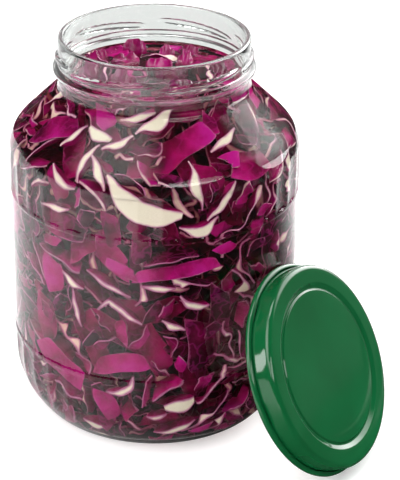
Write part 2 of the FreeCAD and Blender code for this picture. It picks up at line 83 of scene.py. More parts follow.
class Nodes:
    """The nodes of one shader, each added and linked as it is asked for."""

    LIGHT_LEFT = "#FBFCFB"

    def __init__(self, tree: NodeTree) -> None:
        """Start with an empty tree."""
        self.tree = tree
        tree.nodes.clear()

    def add(self, kind: str, inputs: Mapping[str | int, object] | None = None,
            out: str | int = 0, **settings: object) -> NodeSocket:
        """Add a node with its settings, values and links.

        Args:
            kind: The node's type, without its first part.
            inputs: A value or another node's output for each input, by name or number.
            out: The output that is wanted.
            **settings: The node's own properties.

        Returns:
            That output.
        """
        made = self.tree.nodes.new("ShaderNode" + kind)
        for name, value in settings.items():
            setattr(made, name, value)
        for name, value in (inputs or {}).items():
            if isinstance(value, NodeSocket):
                self.tree.links.new(value, made.inputs[name])
            else:
                made.inputs[name].default_value = value
        return made.outputs[out]

    def end(self, kind: str, **results: NodeSocket | None) -> None:
        """Link what there is of the surface and the volume to the tree's output node."""
        output = self.tree.nodes.new("ShaderNodeOutput" + kind)
        for name, result in results.items():
            if result is not None:
                self.tree.links.new(result, output.inputs[name])

    def math(self, operation: str, *values: NodeSocket | float) -> NodeSocket:
        """Work out one operation on values."""
        return self.add("Math", dict(enumerate(values)), operation=operation)

    def blend(self, share: NodeSocket, first: object, second: object) -> NodeSocket:
        """Mix two colours, with so much of the second."""
        return self.add("Mix", {0: share, 6: first, 7: second}, 2, data_type="RGBA")

    def ease(self, value: NodeSocket, start: float, end: float, low: float = 0.0,
             high: float = 1.0) -> NodeSocket:
        """Run smoothly from low, where the value is at start, to high, where it is at end."""
        return self.add("MapRange", {"Value": value, "From Min": start, "From Max": end,
                                     "To Min": low, "To Max": high},
                        interpolation_type="SMOOTHSTEP")

    def along(self, where: NodeSocket, way: Sequence[float]) -> NodeSocket:
        """How far a place lies in a direction."""
        return self.add("VectorMath", {0: where, 1: way}, "Value", operation="DOT_PRODUCT")

    def ray(self, kind: str) -> NodeSocket:
        """1 for one kind of ray and 0 for the others."""
        return self.add("LightPath", out=f"Is {kind} Ray")

    def place(self) -> NodeSocket:
        """The piece's own coordinates, in metres."""
        return self.add("TexCoord", out="Object")

    def attribute(self, name: str) -> NodeSocket:
        """A value that the mesh holds at each point."""
        return self.add("Attribute", out="Fac", attribute_name=name)

    def noise(self, size: float, detail: float = 3.0, out: str = "Fac") -> NodeSocket:
        """Noise from 0 to 1 with lumps of so many millimetres, and octaves of finer noise."""
        return self.add("TexNoise", {"Vector": self.place(), "Scale": 1.0 / (size * MM),
                                     "Detail": detail}, out)

    def ramp(self, factor: NodeSocket, stops: Sequence[tuple[float, str]]) -> NodeSocket:
        """Colour a factor by stops in order, each a place from 0 to 1 and a hex colour."""
        colour = self.add("ValToRGB", {"Fac": factor}, "Color")
        stop_list = colour.node.color_ramp.elements
        while len(stop_list) < len(stops):
            stop_list.new(1.0)
        for stop, (place, shade) in zip(stop_list, stops):
            stop.position, stop.color = place, linear(shade)
        return colour

    def relief(self, height: NodeSocket, depth: float, under: NodeSocket | None = None
               ) -> NodeSocket:
        """Bump a surface by a height from 0 to 1 that stands for so many millimetres."""
        inputs = {"Height": height, "Distance": depth * MM, "Strength": 1.0}
        if under is not None:
            inputs["Normal"] = under
        return self.add("Bump", inputs, "Normal")

    def skin(self, colour: object, roughness: float, normal: NodeSocket, index: float = 1.5,
             clear: float = 0.0) -> NodeSocket:
        """A surface with a gloss: how rough it is, how far it bends light, how clear it is."""
        return self.add("BsdfPrincipled", {"Base Color": colour, "Roughness": roughness,
                                           "IOR": index, "Transmission Weight": clear,
                                           "Normal": normal})

    def passes_light(self, clear: NodeSocket) -> NodeSocket:
        """Let light that a lamp or a dull surface sends go straight through a clear shader.

        Rays that the eye follows still bend, but the food behind is lit as in the room.
        """
        either = self.math("MAXIMUM", self.ray("Shadow"), self.ray("Diffuse"))
        through = self.add("BsdfTransparent", {"Color": linear(self.LIGHT_LEFT)})
        return self.add("MixShader", {0: either, 1: clear, 2: through})


class Finish(ABC):
    """A surface finish, made once as a material and shared by its pieces."""

    name: str

    def material(self) -> Material:
        """The finish as a material."""
        found = bpy.data.materials.get(self.name)
        if found is not None:
            return found
        made = bpy.data.materials.new(self.name)
        made.use_nodes = True
        nodes = Nodes(made.node_tree)
        nodes.end("Material", Surface=self.surface(nodes), Volume=self.inside(nodes))
        return made

    @abstractmethod
    def surface(self, nodes: Nodes) -> NodeSocket:
        """Build the surface shader and return its output."""

    def inside(self, nodes: Nodes) -> NodeSocket | None:
        """The volume shader's output, for what light passes through."""
        return None


@dataclass(frozen=True)
class Clear(Finish):
    """Glass or liquid. One that has no wave only bends light and has no gloss."""

    name: str
    tint: str = "#FFFFFF"
    index: float = 1.5
    wave: float = 0.0
    wave_depth: float = 0.12

    def surface(self, nodes: Nodes) -> NodeSocket:
        """Clear, and waved a little where it has a gloss."""
        if self.wave:
            waves = nodes.relief(nodes.noise(self.wave, 1.0), self.wave_depth)
            clear = nodes.skin(linear(self.tint), 0.0, waves, self.index, 1.0)
        else:
            clear = nodes.add("BsdfRefraction", {"Color": linear(self.tint), "Roughness": 0.0,
                                                 "IOR": self.index})
        return nodes.passes_light(clear)


@dataclass(frozen=True)
class BlownGlass(Clear):
    """Soda-lime container glass, blown in a mould: clear, with slow waves left by the gob."""

    name: str = "soda_lime_glass"
    tint: str = "#F1F6F3"
    wave: float = 26.0


@dataclass(frozen=True)
class WettedWall(Clear):
    """Where brine wets the glass: it bends light but hardly mirrors, so it has no gloss."""

    name: str = "wetted_glass"
    tint: str = "#F6FAF8"


@dataclass(frozen=True)
class PurpleBrine(Clear):
    """Salt and vinegar brine, coloured by the cabbage: clear at the wall, wine-dark in depth."""

    name: str = "purple_brine"
    index: float = 1.34
    wave: float = 9.0
    dye: str = "#F2A6BC"
    strength: float = 85.0

    def inside(self, nodes: Nodes) -> NodeSocket:
        """The dye takes off light with distance, green first."""
        return nodes.add("VolumeAbsorption",
                         {"Color": linear(self.dye), "Density": self.strength})


@dataclass(frozen=True)
class BrineWall(PurpleBrine):
    """The same brine where it lies on the glass, which leaves it no gloss of its own."""

    name: str = "purple_brine_at_glass"
    wave: float = 0.0


@dataclass(frozen=True)
class Cabbage(Finish):
    """What leaf and cut flesh share: painted shade, darker towards the bottom of the jar.

    Under brine they have next to no gloss, since the liquid bends light nearly as they do.
    """

    name: str
    roughness: float
    index: float = 1.06
    # Painted shade low in the jar: tone taken off, full below one height, gone above another.
    low_shade: float = 0.0
    low_shade_below: float = 85.0
    shade_gone_above: float = 112.0

    def shaded_low(self, nodes: Nodes, tone: NodeSocket) -> NodeSocket:
        """Darken a tone low in the jar as painted shade, easing off to the shoulder."""
        height = nodes.add("SeparateXYZ", {0: nodes.place()}, "Z")
        taken = nodes.ease(height, self.low_shade_below * MM, self.shade_gone_above * MM,
                           -self.low_shade, 0.0)
        return nodes.math("ADD", tone, taken)


@dataclass(frozen=True)
class LeafSkin(Cabbage):
    """Red cabbage leaf: a thin waxy skin over purple cells, smooth with fine raised veins.

    The dye bleeds from the cut, so a leaf is paler along its edges.
    """

    name: str = "red_cabbage_skin"
    roughness: float = 0.34
    # Painted shade that darkens the skin low in the jar.
    low_shade: float = 0.12
    vein_mesh: float = 8.0
    vein_edge: float = 0.1
    vein_sway: float = 9.0
    vein_paleness: float = 0.3
    blotches: float = 1.1
    raggedness: float = 0.7
    bleed: Pair = (1.2, 1.5)
    bled: float = 0.7
    swell: float = 1.1
    vein_height: float = 0.05

    def veins(self, nodes: Nodes) -> NodeSocket:
        """A net of fine veins, 1 on a vein and 0 between, of which none runs straight."""
        sway = nodes.add("VectorMath", {0: nodes.noise(5.0, 1.0, "Color"),
                                        3: self.vein_sway * MM}, operation="SCALE")
        where = nodes.add("VectorMath", {0: nodes.place(), 1: sway}, operation="ADD")
        net = nodes.add("TexVoronoi", {"Vector": where, "Scale": 1.0 / (self.vein_mesh * MM)},
                        "Distance", feature="DISTANCE_TO_EDGE")
        return nodes.ease(net, 0.0, self.vein_edge, 1.0, 0.0)

    def surface(self, nodes: Nodes) -> NodeSocket:
        """Purple from plum to magenta, each shred a little different, darker in blotches."""
        blotch = nodes.math("MULTIPLY_ADD", nodes.noise(7.0), self.blotches,
                            -self.blotches / 2)
        lit = nodes.math("ADD", nodes.attribute("tone"), blotch)
        # The tone is darkened low in the jar by painted shade.
        colour = nodes.ramp(self.shaded_low(nodes, lit),
                            [(0.0, "#34031A"), (0.28, "#5C0430"), (0.55, "#86074E"),
                             (0.82, "#A60A6A"), (1.0, "#B0167E")])
        veins = self.veins(nodes)
        pale = nodes.blend(nodes.math("MULTIPLY", veins, self.vein_paleness), colour,
                           linear("#B01E80"))
        ragged = nodes.math("MULTIPLY_ADD", nodes.noise(2.5), self.raggedness,
                            nodes.attribute("rim"))
        edged = nodes.blend(nodes.ease(ragged, *self.bleed, 0.0, self.bled), pale,
                            linear("#B2447E"))
        swell = nodes.relief(nodes.noise(6.0, 2.0), self.swell)
        fine = nodes.relief(veins, self.vein_height, swell)
        return nodes.skin(edged, self.roughness, fine, self.index)


@dataclass(frozen=True)
class WetLeafSkin(LeafSkin):
    """The same skin out of the brine, under a film of water that glistens."""

    name: str = "wet_red_cabbage_skin"
    roughness: float = 0.18
    index: float = 1.42


@dataclass(frozen=True)
class CutFlesh(Cabbage):
    """Cut cabbage flesh: cream in the thick of the leaf, stained pink beside the skin."""

    name: str = "cut_cabbage_flesh"
    roughness: float = 0.45
    # Painted shade that darkens the flesh low in the jar.
    low_shade: float = 0.3
    patches: float = 1.1
    grain: float = 0.1

    def surface(self, nodes: Nodes) -> NodeSocket:
        """Cream to pink by the depth under the skin, with watery patches."""
        wet = nodes.math("ADD", nodes.noise(4.0, 2.0), -0.5)
        pale = nodes.math("MULTIPLY_ADD", wet, self.patches, nodes.attribute("flesh"))
        # The flesh is darkened low in the jar by painted shade.
        colour = nodes.ramp(self.shaded_low(nodes, pale),
                            [(0.05, "#A85C84"), (0.34, "#C892A8"), (0.7, "#DDBFB8"),
                             (1.0, "#EADDCA")])
        grain = nodes.relief(nodes.noise(1.2, 2.0), self.grain)
        return nodes.skin(colour, self.roughness, grain, self.index)


@dataclass(frozen=True)
class WetCutFlesh(CutFlesh):
    """The same flesh out of the brine, wet."""

    name: str = "wet_cut_cabbage_flesh"
    roughness: float = 0.25
    index: float = 1.38


@dataclass(frozen=True)
class Mottled(Finish):
    """A finish whose colour drifts in patches, over bumps of its own.

    Attributes:
        stops: Its colours, from one kind of patch to the other.
        patch: Size of a patch in millimetres, and octaves of finer ones.
        bump: The same for the bumps.
        bump_depth: Depth of the bumps in millimetres.
    """

    name: str
    stops: tuple[tuple[float, str], ...]
    patch: Pair
    bump: Pair
    bump_depth: float
    roughness: float
    index: float = 1.5

    def surface(self, nodes: Nodes) -> NodeSocket:
        """Its mottled colour, under its gloss."""
        return nodes.skin(nodes.ramp(nodes.noise(*self.patch), self.stops), self.roughness,
                          nodes.relief(nodes.noise(*self.bump), self.bump_depth), self.index)


@dataclass(frozen=True)
class PackedShade(Mottled):
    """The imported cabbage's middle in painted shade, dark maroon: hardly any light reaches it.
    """

    name: str = "packed_cabbage_shade"
    # Painted shade: dark maroon, with a few paler patches.
    stops: tuple[tuple[float, str], ...] = (
        (0.35, "#40061C"), (0.55, "#600A30"), (0.68, "#801C48"), (0.78, "#B07484"))
    patch: Pair = (9.0, 4.0)
    bump: Pair = (6.0, 3.0)
    bump_depth: float = 2.0
    roughness: float = 0.6


@dataclass(frozen=True)
class StovedEnamel(Mottled):
    """Stoving enamel on tinplate: a deep gloss with the faintest orange peel."""

    name: str = "stoved_enamel_green"
    stops: tuple[tuple[float, str], ...] = ((0.3, "#0A4D28"), (0.7, "#0C572F"))
    patch: Pair = (30.0, 2.0)
    bump: Pair = (2.2, 1.0)
    bump_depth: float = 0.004
    roughness: float = 0.08
    index: float = 1.48


@dataclass(frozen=True)
class SealCompound(Mottled):
    """Flowed-in PVC sealing compound: matt, soft, off-white."""

    name: str = "pvc_sealing_compound"
    stops: tuple[tuple[float, str], ...] = ((0.3, "#CFC9BB"), (0.7, "#DAD5C8"))
    patch: Pair = (5.0, 2.0)
    bump: Pair = (1.5, 2.0)
    bump_depth: float = 0.03
    roughness: float = 0.5


@dataclass(frozen=True)
class StudioPaper(Finish):
    """The white table that all stands on, which keeps a soft shadow.

    Gloss sees it white, but for a painted shade on the near right and far off to the right,
    and it is painted a little greyer where it is seen through glass.
    """

    name: str = "studio_paper"
    white: str = "#F4F4F4"
    # Colour of the painted shade that gloss sees on the table.
    painted_shade_colour: str = "#3A3A3A"
    glow: float = 0.3
    # How far the table is painted greyer where it is seen through glass.
    through_glass: float = 0.5
    rightwards: Triple = (0.5, -0.866, 0.0)
    nearer: Triple = (-0.866, -0.5, 0.0)
    # Where the painted shade starts to the right, nearer and far to the right, and its soft edge.
    painted_shade_right: float = -0.09
    painted_shade_near: float = -0.16
    painted_shade_far: float = 0.28
    painted_shade_edge: float = 0.14

    def beyond(self, nodes: Nodes, way: Triple, start: float) -> NodeSocket:
        """1 on the table from somewhat past a distance in one direction, 0 short of it."""
        return nodes.ease(nodes.along(nodes.place(), way), start, start + self.painted_shade_edge)

    def surface(self, nodes: Nodes) -> NodeSocket:
        """White paper, lifted to white where light falls on it freely and no shade is painted."""
        glossy, through = nodes.ray("Glossy"), nodes.ray("Transmission")
        seen = nodes.math("MAXIMUM", nodes.ray("Camera"), glossy)
        seen = nodes.math("MAXIMUM", seen, through)
        # Painted shade, seen only in gloss: a patch on the near right and a band far to the
        # right.
        painted_shade = nodes.math("MULTIPLY", self.beyond(nodes, self.rightwards, self.painted_shade_right),
                          self.beyond(nodes, self.nearer, self.painted_shade_near))
        painted_shade = nodes.math("MAXIMUM", painted_shade, self.beyond(nodes, self.rightwards, self.painted_shade_far))
        painted_shade = nodes.math("MULTIPLY", painted_shade, nodes.math("GREATER_THAN", glossy, through))
        # Painted shade: greyer where the table is seen through glass.
        behind = nodes.math("MULTIPLY", through, self.through_glass)
        shaded = nodes.math("MAXIMUM", painted_shade, behind)
        colour = nodes.blend(shaded, linear(self.white), linear(self.painted_shade_colour))
        lit = nodes.math("MULTIPLY", nodes.math("MULTIPLY", seen, self.glow),
                         nodes.math("SUBTRACT", 1.0, shaded))
        return nodes.add("AddShader", {0: nodes.add("BsdfDiffuse", {"Color": colour}),
                                       1: nodes.add("Emission", {"Strength": lit})})


# ---------------------------------------------------------------- modelling by operators

def choose(piece: Object) -> None:
    """Make one object the selected and active one."""
    bpy.ops.object.select_all(action="DESELECT")
    piece.select_set(True)
    bpy.context.view_layer.objects.active = piece


@dataclass(frozen=True)
class Corner:
    """A corner of a turned outline, in millimetres.

    Attributes:
        radius: Distance from the axis.
        height: Height along the axis.
        bend: Radius that the corner is rounded to.
        steps: Points that the rounding gets.
        rows: Rows that the straight run up to this corner is divided into.
    """

    radius: float
    height: float
    bend: float = 0.0
    steps: int = 6
    rows: int = 1

    def point(self) -> Vector:
        """Where it is."""
        return Vector((self.radius, self.height))


def rounded(corners: Sequence[Corner]) -> Outline:
    """Turn corners into an outline with round bends.

    Args:
        corners: The corners in order. The first and the last stay sharp.

    Returns:
        The outline's points, in millimetres.
    """
    outline: Outline = [(corners[0].radius, corners[0].height)]

    def run_to(point: Vector, rows: int) -> None:
        start = Vector(outline[-1])
        for row in range(1, rows + 1):
            outline.append(tuple(start.lerp(point, row / rows)))

    for before, here, after in zip(corners, corners[1:], corners[2:]):
        corner = here.point()
        if not here.bend:
            run_to(corner, here.rows)
            continue
        back = (before.point() - corner).normalized()
        ahead = (after.point() - corner).normalized()
        half = back.angle(ahead) / 2
        reach = here.bend / math.tan(half)
        middle = corner + (back + ahead).normalized() * (here.bend / math.sin(half))
        first, last = corner + back * reach, corner + ahead * reach
        run_to(first, here.rows)
        turn = (first - middle).angle_signed(last - middle)
        for step in range(1, here.steps + 1):
            angle = -turn * step / here.steps
            outline.append(tuple(middle + Matrix.Rotation(angle, 2) @ (first - middle)))
    run_to(corners[-1].point(), corners[-1].rows)
    return outline


def lathe(name: str, outline: Outline, steps: int) -> Object:
    """Spin an outline about the Z axis into a closed piece.

    Args:
        name: The piece's name.
        outline: Radius and height of each point, in millimetres.
        steps: Divisions round the axis.

    Returns:
        The piece, its normals pointing outwards.
    """
    bpy.ops.object.select_all(action="DESELECT")
    start = Vector((outline[0][0], 0, outline[0][1])) * MM
    bpy.ops.mesh.primitive_plane_add(size=MM, location=start)
    piece = bpy.context.object
    piece.name = piece.data.name = name
    bpy.ops.object.mode_set(mode="EDIT")
    bpy.ops.mesh.merge(type="CENTER")
    for (radius, height), (next_radius, next_height) in zip(outline, outline[1:]):
        step = Vector((next_radius - radius, 0, next_height - height)) * MM
        bpy.ops.mesh.extrude_vertices_move(TRANSFORM_OT_translate={"value": step})
    bpy.ops.mesh.select_all(action="SELECT")
    bpy.ops.mesh.spin(steps=steps, angle=FULL_TURN, center=(0, 0, 0), axis=(0, 0, 1))
    bpy.ops.mesh.select_all(action="SELECT")
    bpy.ops.mesh.remove_doubles(threshold=1e-6)
    bpy.ops.mesh.normals_make_consistent(inside=False)
    if bmesh.from_edit_mesh(piece.data).calc_volume(signed=True) < 0:
        bpy.ops.mesh.flip_normals()
    bpy.ops.object.mode_set(mode="OBJECT")
    bpy.ops.object.transform_apply(location=True, rotation=True, scale=True)
    return piece


def face_out(piece: Object) -> None:
    """Turn the faces of every closed shell in a piece outwards."""
    choose(piece)
    bpy.ops.object.mode_set(mode="EDIT")
    bpy.ops.mesh.select_all(action="SELECT")
    bpy.ops.mesh.normals_make_consistent(inside=False)
    bpy.ops.object.mode_set(mode="OBJECT")


def smooth(piece: Object, angle: float = 35.0) -> None:
    """Shade smooth across edges that turn by less than an angle in degrees."""
    choose(piece)
    bpy.ops.object.shade_smooth_by_angle(angle=math.radians(angle))


def place(piece: Object, matrix: Matrix) -> None:
    """Move a piece, with its place kept in its mesh."""
    choose(piece)
    piece.matrix_world = matrix
    bpy.ops.object.transform_apply(location=True, rotation=True, scale=True)


def finish_piece(piece: Object, finishes: Sequence[Finish], slot: str, *nodes: str) -> None:
    """Dress a piece, ride it and hide the solids that it stands for.

    Args:
        piece: The piece.
        finishes: Its finishes, by material index.
        slot: The record's material slot. Not used.
        *nodes: CAD nodes that it replaces.
    """
    piece.data.materials.clear()
    for finish in finishes:
        piece.data.materials.append(finish.material())
    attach(piece, "root")
    if nodes:
        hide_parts(*nodes)
    log.info("%s: %d faces", piece.name, len(piece.data.polygons))


def press_round(piece: Object, press: Callable[[float, float, float], float | None]) -> None:
    """Press a turned piece's points in or out from its axis.

    Args:
        piece: The piece.
        press: Gives a point's new radius, or None to leave it, from its radius and height in
            millimetres and its angle in radians.
    """
    for vertex in piece.data.vertices:
        x, y, height = (value / MM for value in vertex.co)
        radius = math.hypot(x, y)
        moved = press(radius, height, math.atan2(y, x))
        if moved is not None:
            vertex.co.x *= moved / radius
            vertex.co.y *= moved / radius


# ---------------------------------------------------------------- the jar

@dataclass
class Jar:
    """The blown glass jar: foot, two fluted grip bands, plain panel, shoulder, neck and lip.

    Sizes are millimetres, and drops are measured down from the lip.
    """

    height: float
    band_radius: float
    wall: float = 2.7
    floor_glass: float = 4.5
    label_recess: float = 0.4
    label_step: float = 0.8
    label_bottom: float = 38.0
    label_top_drop: float = 63.6
    heel_run: float = 12.8
    heel_rise: float = 16.2
    heel_bend: float = 39.0
    foot_bend: float = 13.0
    foot_width: float = 8.4
    push_up: float = 3.5
    push_up_run: float = 5.0
    push_up_bend: float = 3.0
    foot_inner_bend: float = 2.0
    label_bend: float = 0.5
    shoulder_drop: float = 40.7
    shoulder_bend: float = 17.0
    neck_radius: float = 38.4
    neck_wall: float = 2.4
    neck_drop: float = 20.4
    neck_bend: float = 5.0
    lip_bend: float = 1.1
    bead_drop: float = 13.0
    bead_depth: float = 2.2
    bead_width: float = 3.2
    bead_crown: float = 1.6
    bead_bend: float = 0.7
    bead_foot_bend: float = 0.6
    thread_end: float = 4.6
    lug_drop: float = 8.4
    lug_radius: float = 1.4
    lug_inset: float = 8.4
    lug_slope: float = 3.9
    lug_start: float = 1.0
    lug_count: int = 6
    flute_count: int = 36
    flute_start: float = 8.4
    flute_depth: float = 0.55
    flute_end_gap: float = 1.2
    flute_fade: float = 1.6
    heel_fade: float = 6.0
    heel_in: float = 2.2
    steps_per_flute: int = 10

    def foot_radius(self) -> float:
        """Where the heel's slope meets the table."""
        return self.band_radius - self.heel_run

    def push_up_radius(self) -> float:
        """The flat in the middle of the bottom."""
        return self.foot_radius() - self.foot_width - self.push_up_run

    def mouth(self) -> float:
        """Inside of the neck."""
        return self.neck_radius - self.neck_wall

    def outside(self) -> list[Corner]:
        """The outside from the middle of the bottom to the lip."""
        band, neck, foot = self.band_radius, self.neck_radius, self.foot_radius()
        label, step = band - self.label_recess, self.label_step
        bottom, top = self.label_bottom, self.height - self.label_top_drop
        bead, reach = self.height - self.bead_drop, neck + self.bead_depth
        shoulder, neck_rise = self.height - self.shoulder_drop, self.height - self.neck_drop
        gap, fade, bend = self.flute_end_gap, self.flute_fade, self.label_bend
        return [
            Corner(0, self.push_up),
            Corner(self.push_up_radius(), self.push_up, self.push_up_bend, 3, 4),
            Corner(foot - self.foot_width, 0, self.foot_inner_bend, 3),
            Corner(foot, 0, self.foot_bend, 9, 2),
            Corner(band, self.heel_rise, self.heel_bend, 14),
            Corner(band, bottom - gap - fade, rows=3),
            Corner(band, bottom - gap, rows=4),
            Corner(band, bottom, bend, 2),
            Corner(label, bottom + step, bend, 2),
            Corner(label, top - step, bend, 2, 3),
            Corner(band, top, bend, 2),
            Corner(band, top + gap),
            Corner(band, top + gap + fade, rows=5),
            Corner(band, shoulder, self.shoulder_bend, 22, 3),
            Corner(neck, neck_rise, self.neck_bend, 8, 2),
            Corner(neck, bead - self.bead_width / 2, self.bead_foot_bend, 3, 2),
            Corner(reach, bead - self.bead_crown / 2, self.bead_bend, 4),
            Corner(reach, bead + self.bead_crown / 2, self.bead_bend, 4),
            Corner(neck, bead + self.bead_width / 2, self.bead_foot_bend, 3),
            Corner(neck, self.height - self.thread_end, rows=22),
            Corner(neck, self.height, self.lip_bend, 6, 2),
        ]

    def inside(self, wall: float, neck_wall: float) -> list[Corner]:
        """The inside from the neck down to the middle of the bottom.

        Args:
            wall: How far inside the outer wall it lies.
            neck_wall: The same in the neck.

        Returns:
            Its corners, whose heel and shoulder run beside the outside's slopes.
        """
        band, mouth, rise = self.band_radius, self.neck_radius - neck_wall, self.heel_rise
        floor = self.floor_glass - (self.wall - wall)
        shoulder = self.height - self.shoulder_drop
        heel_slope = math.hypot(self.heel_run, rise)
        inner_rise = rise + wall * (heel_slope - rise) / self.heel_run
        inner_foot = self.foot_radius() + (floor * self.heel_run - wall * heel_slope) / rise
        run, fall = band - self.neck_radius, self.shoulder_drop - self.neck_drop
        slope = math.hypot(run, fall)
        inner_shoulder = shoulder - wall * (slope - fall) / run
        inner_neck = shoulder + ((band - mouth) * fall - wall * slope) / run
        inner = band - wall
        return [
            Corner(mouth, inner_neck, self.neck_bend + wall, 8, 3),
            Corner(inner, inner_shoulder, self.shoulder_bend - wall, 14, 2),
            Corner(inner, inner_rise, self.heel_bend - wall, 14, 4),
            Corner(inner_foot, floor, self.foot_bend / 2, 8),
            Corner(self.push_up_radius(), self.push_up + floor, rows=3),
            Corner(0, self.push_up + floor, rows=3),
        ]

    def glass_outline(self) -> Outline:
        """The whole wall, outside and inside."""
        flare = Corner(self.mouth(), self.height, self.lip_bend, 6)
        return rounded([*self.outside(), flare, *self.inside(self.wall, self.neck_wall)])

    def thread_reach(self, angle: float, height: float) -> float:
        """How far a thread lifts the neck's surface at an angle in radians and a height."""
        pitch = FULL_TURN / self.lug_count
        offset = (angle - math.radians(self.lug_start) + pitch / 2) % pitch - pitch / 2
        bow = self.neck_radius - self.lug_inset
        middle = (self.lug_inset * math.cos(offset)
                  + math.sqrt(bow ** 2 - (self.lug_inset * math.sin(offset)) ** 2))
        rise = middle * math.sin(offset) * math.tan(math.radians(self.lug_slope))
        across = height - (self.height - self.lug_drop + rise)
        if abs(across) >= self.lug_radius:
            return 0.0
        lift = math.sqrt(self.lug_radius ** 2 - across ** 2) - (self.neck_radius - middle)
        return max(0.0, lift)

    def flute_cut(self, angle: float) -> float:
        """How deep a flute lies under the band at an angle in radians, in millimetres."""
        pitch = FULL_TURN / self.flute_count
        share = ((angle - math.radians(self.flute_start)) / pitch + 0.5) % 1.0 * 2 - 1
        return self.flute_depth * (1 - share ** 2)

    def press(self, radius: float, height: float, angle: float) -> float | None:
        """Where the mould's threads and flutes press a point of the turned wall to."""
        neck_low = self.height - self.bead_drop + self.bead_width / 2
        upper = self.height - self.label_top_drop + self.flute_end_gap
        lower = self.label_bottom - self.flute_end_gap
        if height > neck_low and radius > self.neck_radius - 0.01:
            return radius + self.thread_reach(angle, height)
        if height > upper and radius > self.band_radius - 3 * self.flute_depth:
            share = min(1.0, (height - upper) / self.flute_fade) ** 0.5
            return min(radius, self.band_radius - share * self.flute_cut(angle))
        if self.heel_rise / 2 < height < lower and radius > self.band_radius - self.heel_in:
            share = min(1.0, (lower - height) / self.flute_fade) ** 0.5
            fade = (height - self.heel_rise + self.heel_fade / 2) / self.heel_fade
            share *= min(1.0, max(0.0, fade))
            return radius - share * self.flute_cut(angle)
        return None

    def build(self, dry: Finish, wetted: Finish, level: float) -> Object:
        """Model the glass in place of the jar's solid.

        Args:
            dry: The finish of glass in air.
            wetted: The finish of glass that the brine lies on.
            level: Height of the brine, in millimetres.

        Returns:
            The piece.
        """
        piece = lathe("jar_glass", self.glass_outline(), self.flute_count * self.steps_per_flute)
        place(piece, Matrix.Rotation(math.radians(self.flute_start), 4, "Z"))
        press_round(piece, self.press)
        smooth(piece)
        finish_piece(piece, [dry, wetted], "glass", "jar")
        for face in piece.data.polygons:
            radius, height = math.hypot(*face.center.xy) / MM, face.center.z / MM
            inward = face.normal.xy.dot(face.center.xy) < 0 or face.normal.z > 0.5
            inside = radius < self.band_radius - self.wall / 2 and height < level
            face.material_index = int(inward and inside and height > self.floor_glass / 2)
        return piece


# ---------------------------------------------------------------- the brine and the cabbage

@dataclass
class Brine:
    """The brine, a little larger than the space in the jar, so that no air gap shows."""

    jar: Jar
    headspace: float = 17.0
    reach: float = 0.15
    climb: float = 1.1
    climb_width: float = 1.3
    steps: int = 180

    def level(self) -> float:
        """Height of the flat of the surface, in millimetres."""
        return self.jar.height - self.headspace

    def outline(self) -> Outline:
        """From the middle of the surface, up the edge that clings to the glass, and down."""
        edge = self.jar.mouth() + self.reach
        surface: Outline = [(0.0, self.level()), (edge * 0.6, self.level())]
        for share in (6.0, 4.0, 2.6, 1.6, 0.9, 0.4, 0.0):
            out = share * self.climb_width
            surface.append((edge - out, self.level() + self.climb * math.exp(-share)))
        walls = self.jar.inside(self.jar.wall - self.reach, self.jar.neck_wall - self.reach)
        top = Corner(edge, self.level() + self.climb)
        return surface + rounded([top, *walls])[1:]

    def build(self, free: Finish, at_glass: Finish) -> Object:
        """Model the liquid, with one finish on its surface and another where it lies on glass."""
        piece = lathe("brine_liquid", self.outline(), self.steps)
        smooth(piece)
        finish_piece(piece, [free, at_glass], "brine", "brine")
        for face in piece.data.polygons:
            face.material_index = 0 if face.normal.z > 0.1 else 1
        return piece


class InnerWall:
    """The inside of the glass as a path, from the middle of the bottom up to the neck."""

    def __init__(self, outline: Outline) -> None:
        """Measure the path along points from the top down, in millimetres."""
        points = np.array(outline[::-1])
        self.length = np.concatenate(
            [[0.0], np.cumsum(np.hypot(*np.diff(points, axis=0).T))])
        self.radius, self.height = points.T

    def at(self, along: ndarray, reach: float = 1.5) -> tuple[ndarray, ...]:
        """Find the wall at distances along the path.

        Args:
            along: Distances from the middle of the bottom, in millimetres.
            reach: How far to each side the path's direction is measured.

        Returns:
            Radius, height, and the path's direction across and up.
        """
        def pair(where: ndarray) -> tuple[ndarray, ndarray]:
            return (np.interp(where, self.length, self.radius),
                    np.interp(where, self.length, self.height))

        (radius, height), ahead, back = pair(along), pair(along + reach), pair(along - reach)
        across, up = ahead[0] - back[0], ahead[1] - back[1]
        size = np.hypot(across, up) + 1e-9
        return radius, height, across / size, up / size

    def rise(self, height: float) -> float:
        """Distance along the path to where the side of the jar is at a height."""
        side = slice(int(self.height.argmin()), None)
        return float(np.interp(height, self.height[side], self.length[side]))


class Room:
    """The space in the jar as small cells, so that no two shreds lie in the same place."""

    def __init__(self, reach: float, height: float, cell: float = 0.9) -> None:
        """Start with all of it free, so far from the axis and so high, in millimetres."""
        self.cell = cell
        self.corner = np.array([reach, reach, 0.0])
        across = int(2 * reach / cell) + 3
        self.taken = np.zeros((across, across, int(height / cell) + 8), dtype=bool)

    def cells(self, points: ndarray) -> tuple[ndarray, ...]:
        """Which cells points lie in."""
        index = np.floor((points + self.corner) / self.cell).astype(int)
        return tuple(np.clip(index, 0, np.array(self.taken.shape) - 1).T)

    def crowding(self, points: ndarray) -> float:
        """The share of points that lie where something is already."""
        return float(self.taken[self.cells(points)].mean())

    def fill(self, points: ndarray) -> None:
        """Mark where a shred lies."""
        self.taken[self.cells(points)] = True


class Bed(ABC):
    """A surface that shreds are laid along, one behind another."""

    @abstractmethod
    def spot(self, random: np.random.RandomState) -> Pair:
        """Choose where the middle of a shred goes on the surface."""

    @abstractmethod
    def lay(self, points: ndarray, spot: Pair, depth: float, gap: float) -> ndarray:
        """Bring points from the surface's own measures into the jar.

        Args:
            points: Distance sideways, distance along and depth behind the surface.
            spot: Where the points' middle goes.
            depth: How far behind the surface the whole goes.
            gap: What each point keeps off the surface.

        Returns:
            The points' places, in millimetres.
        """


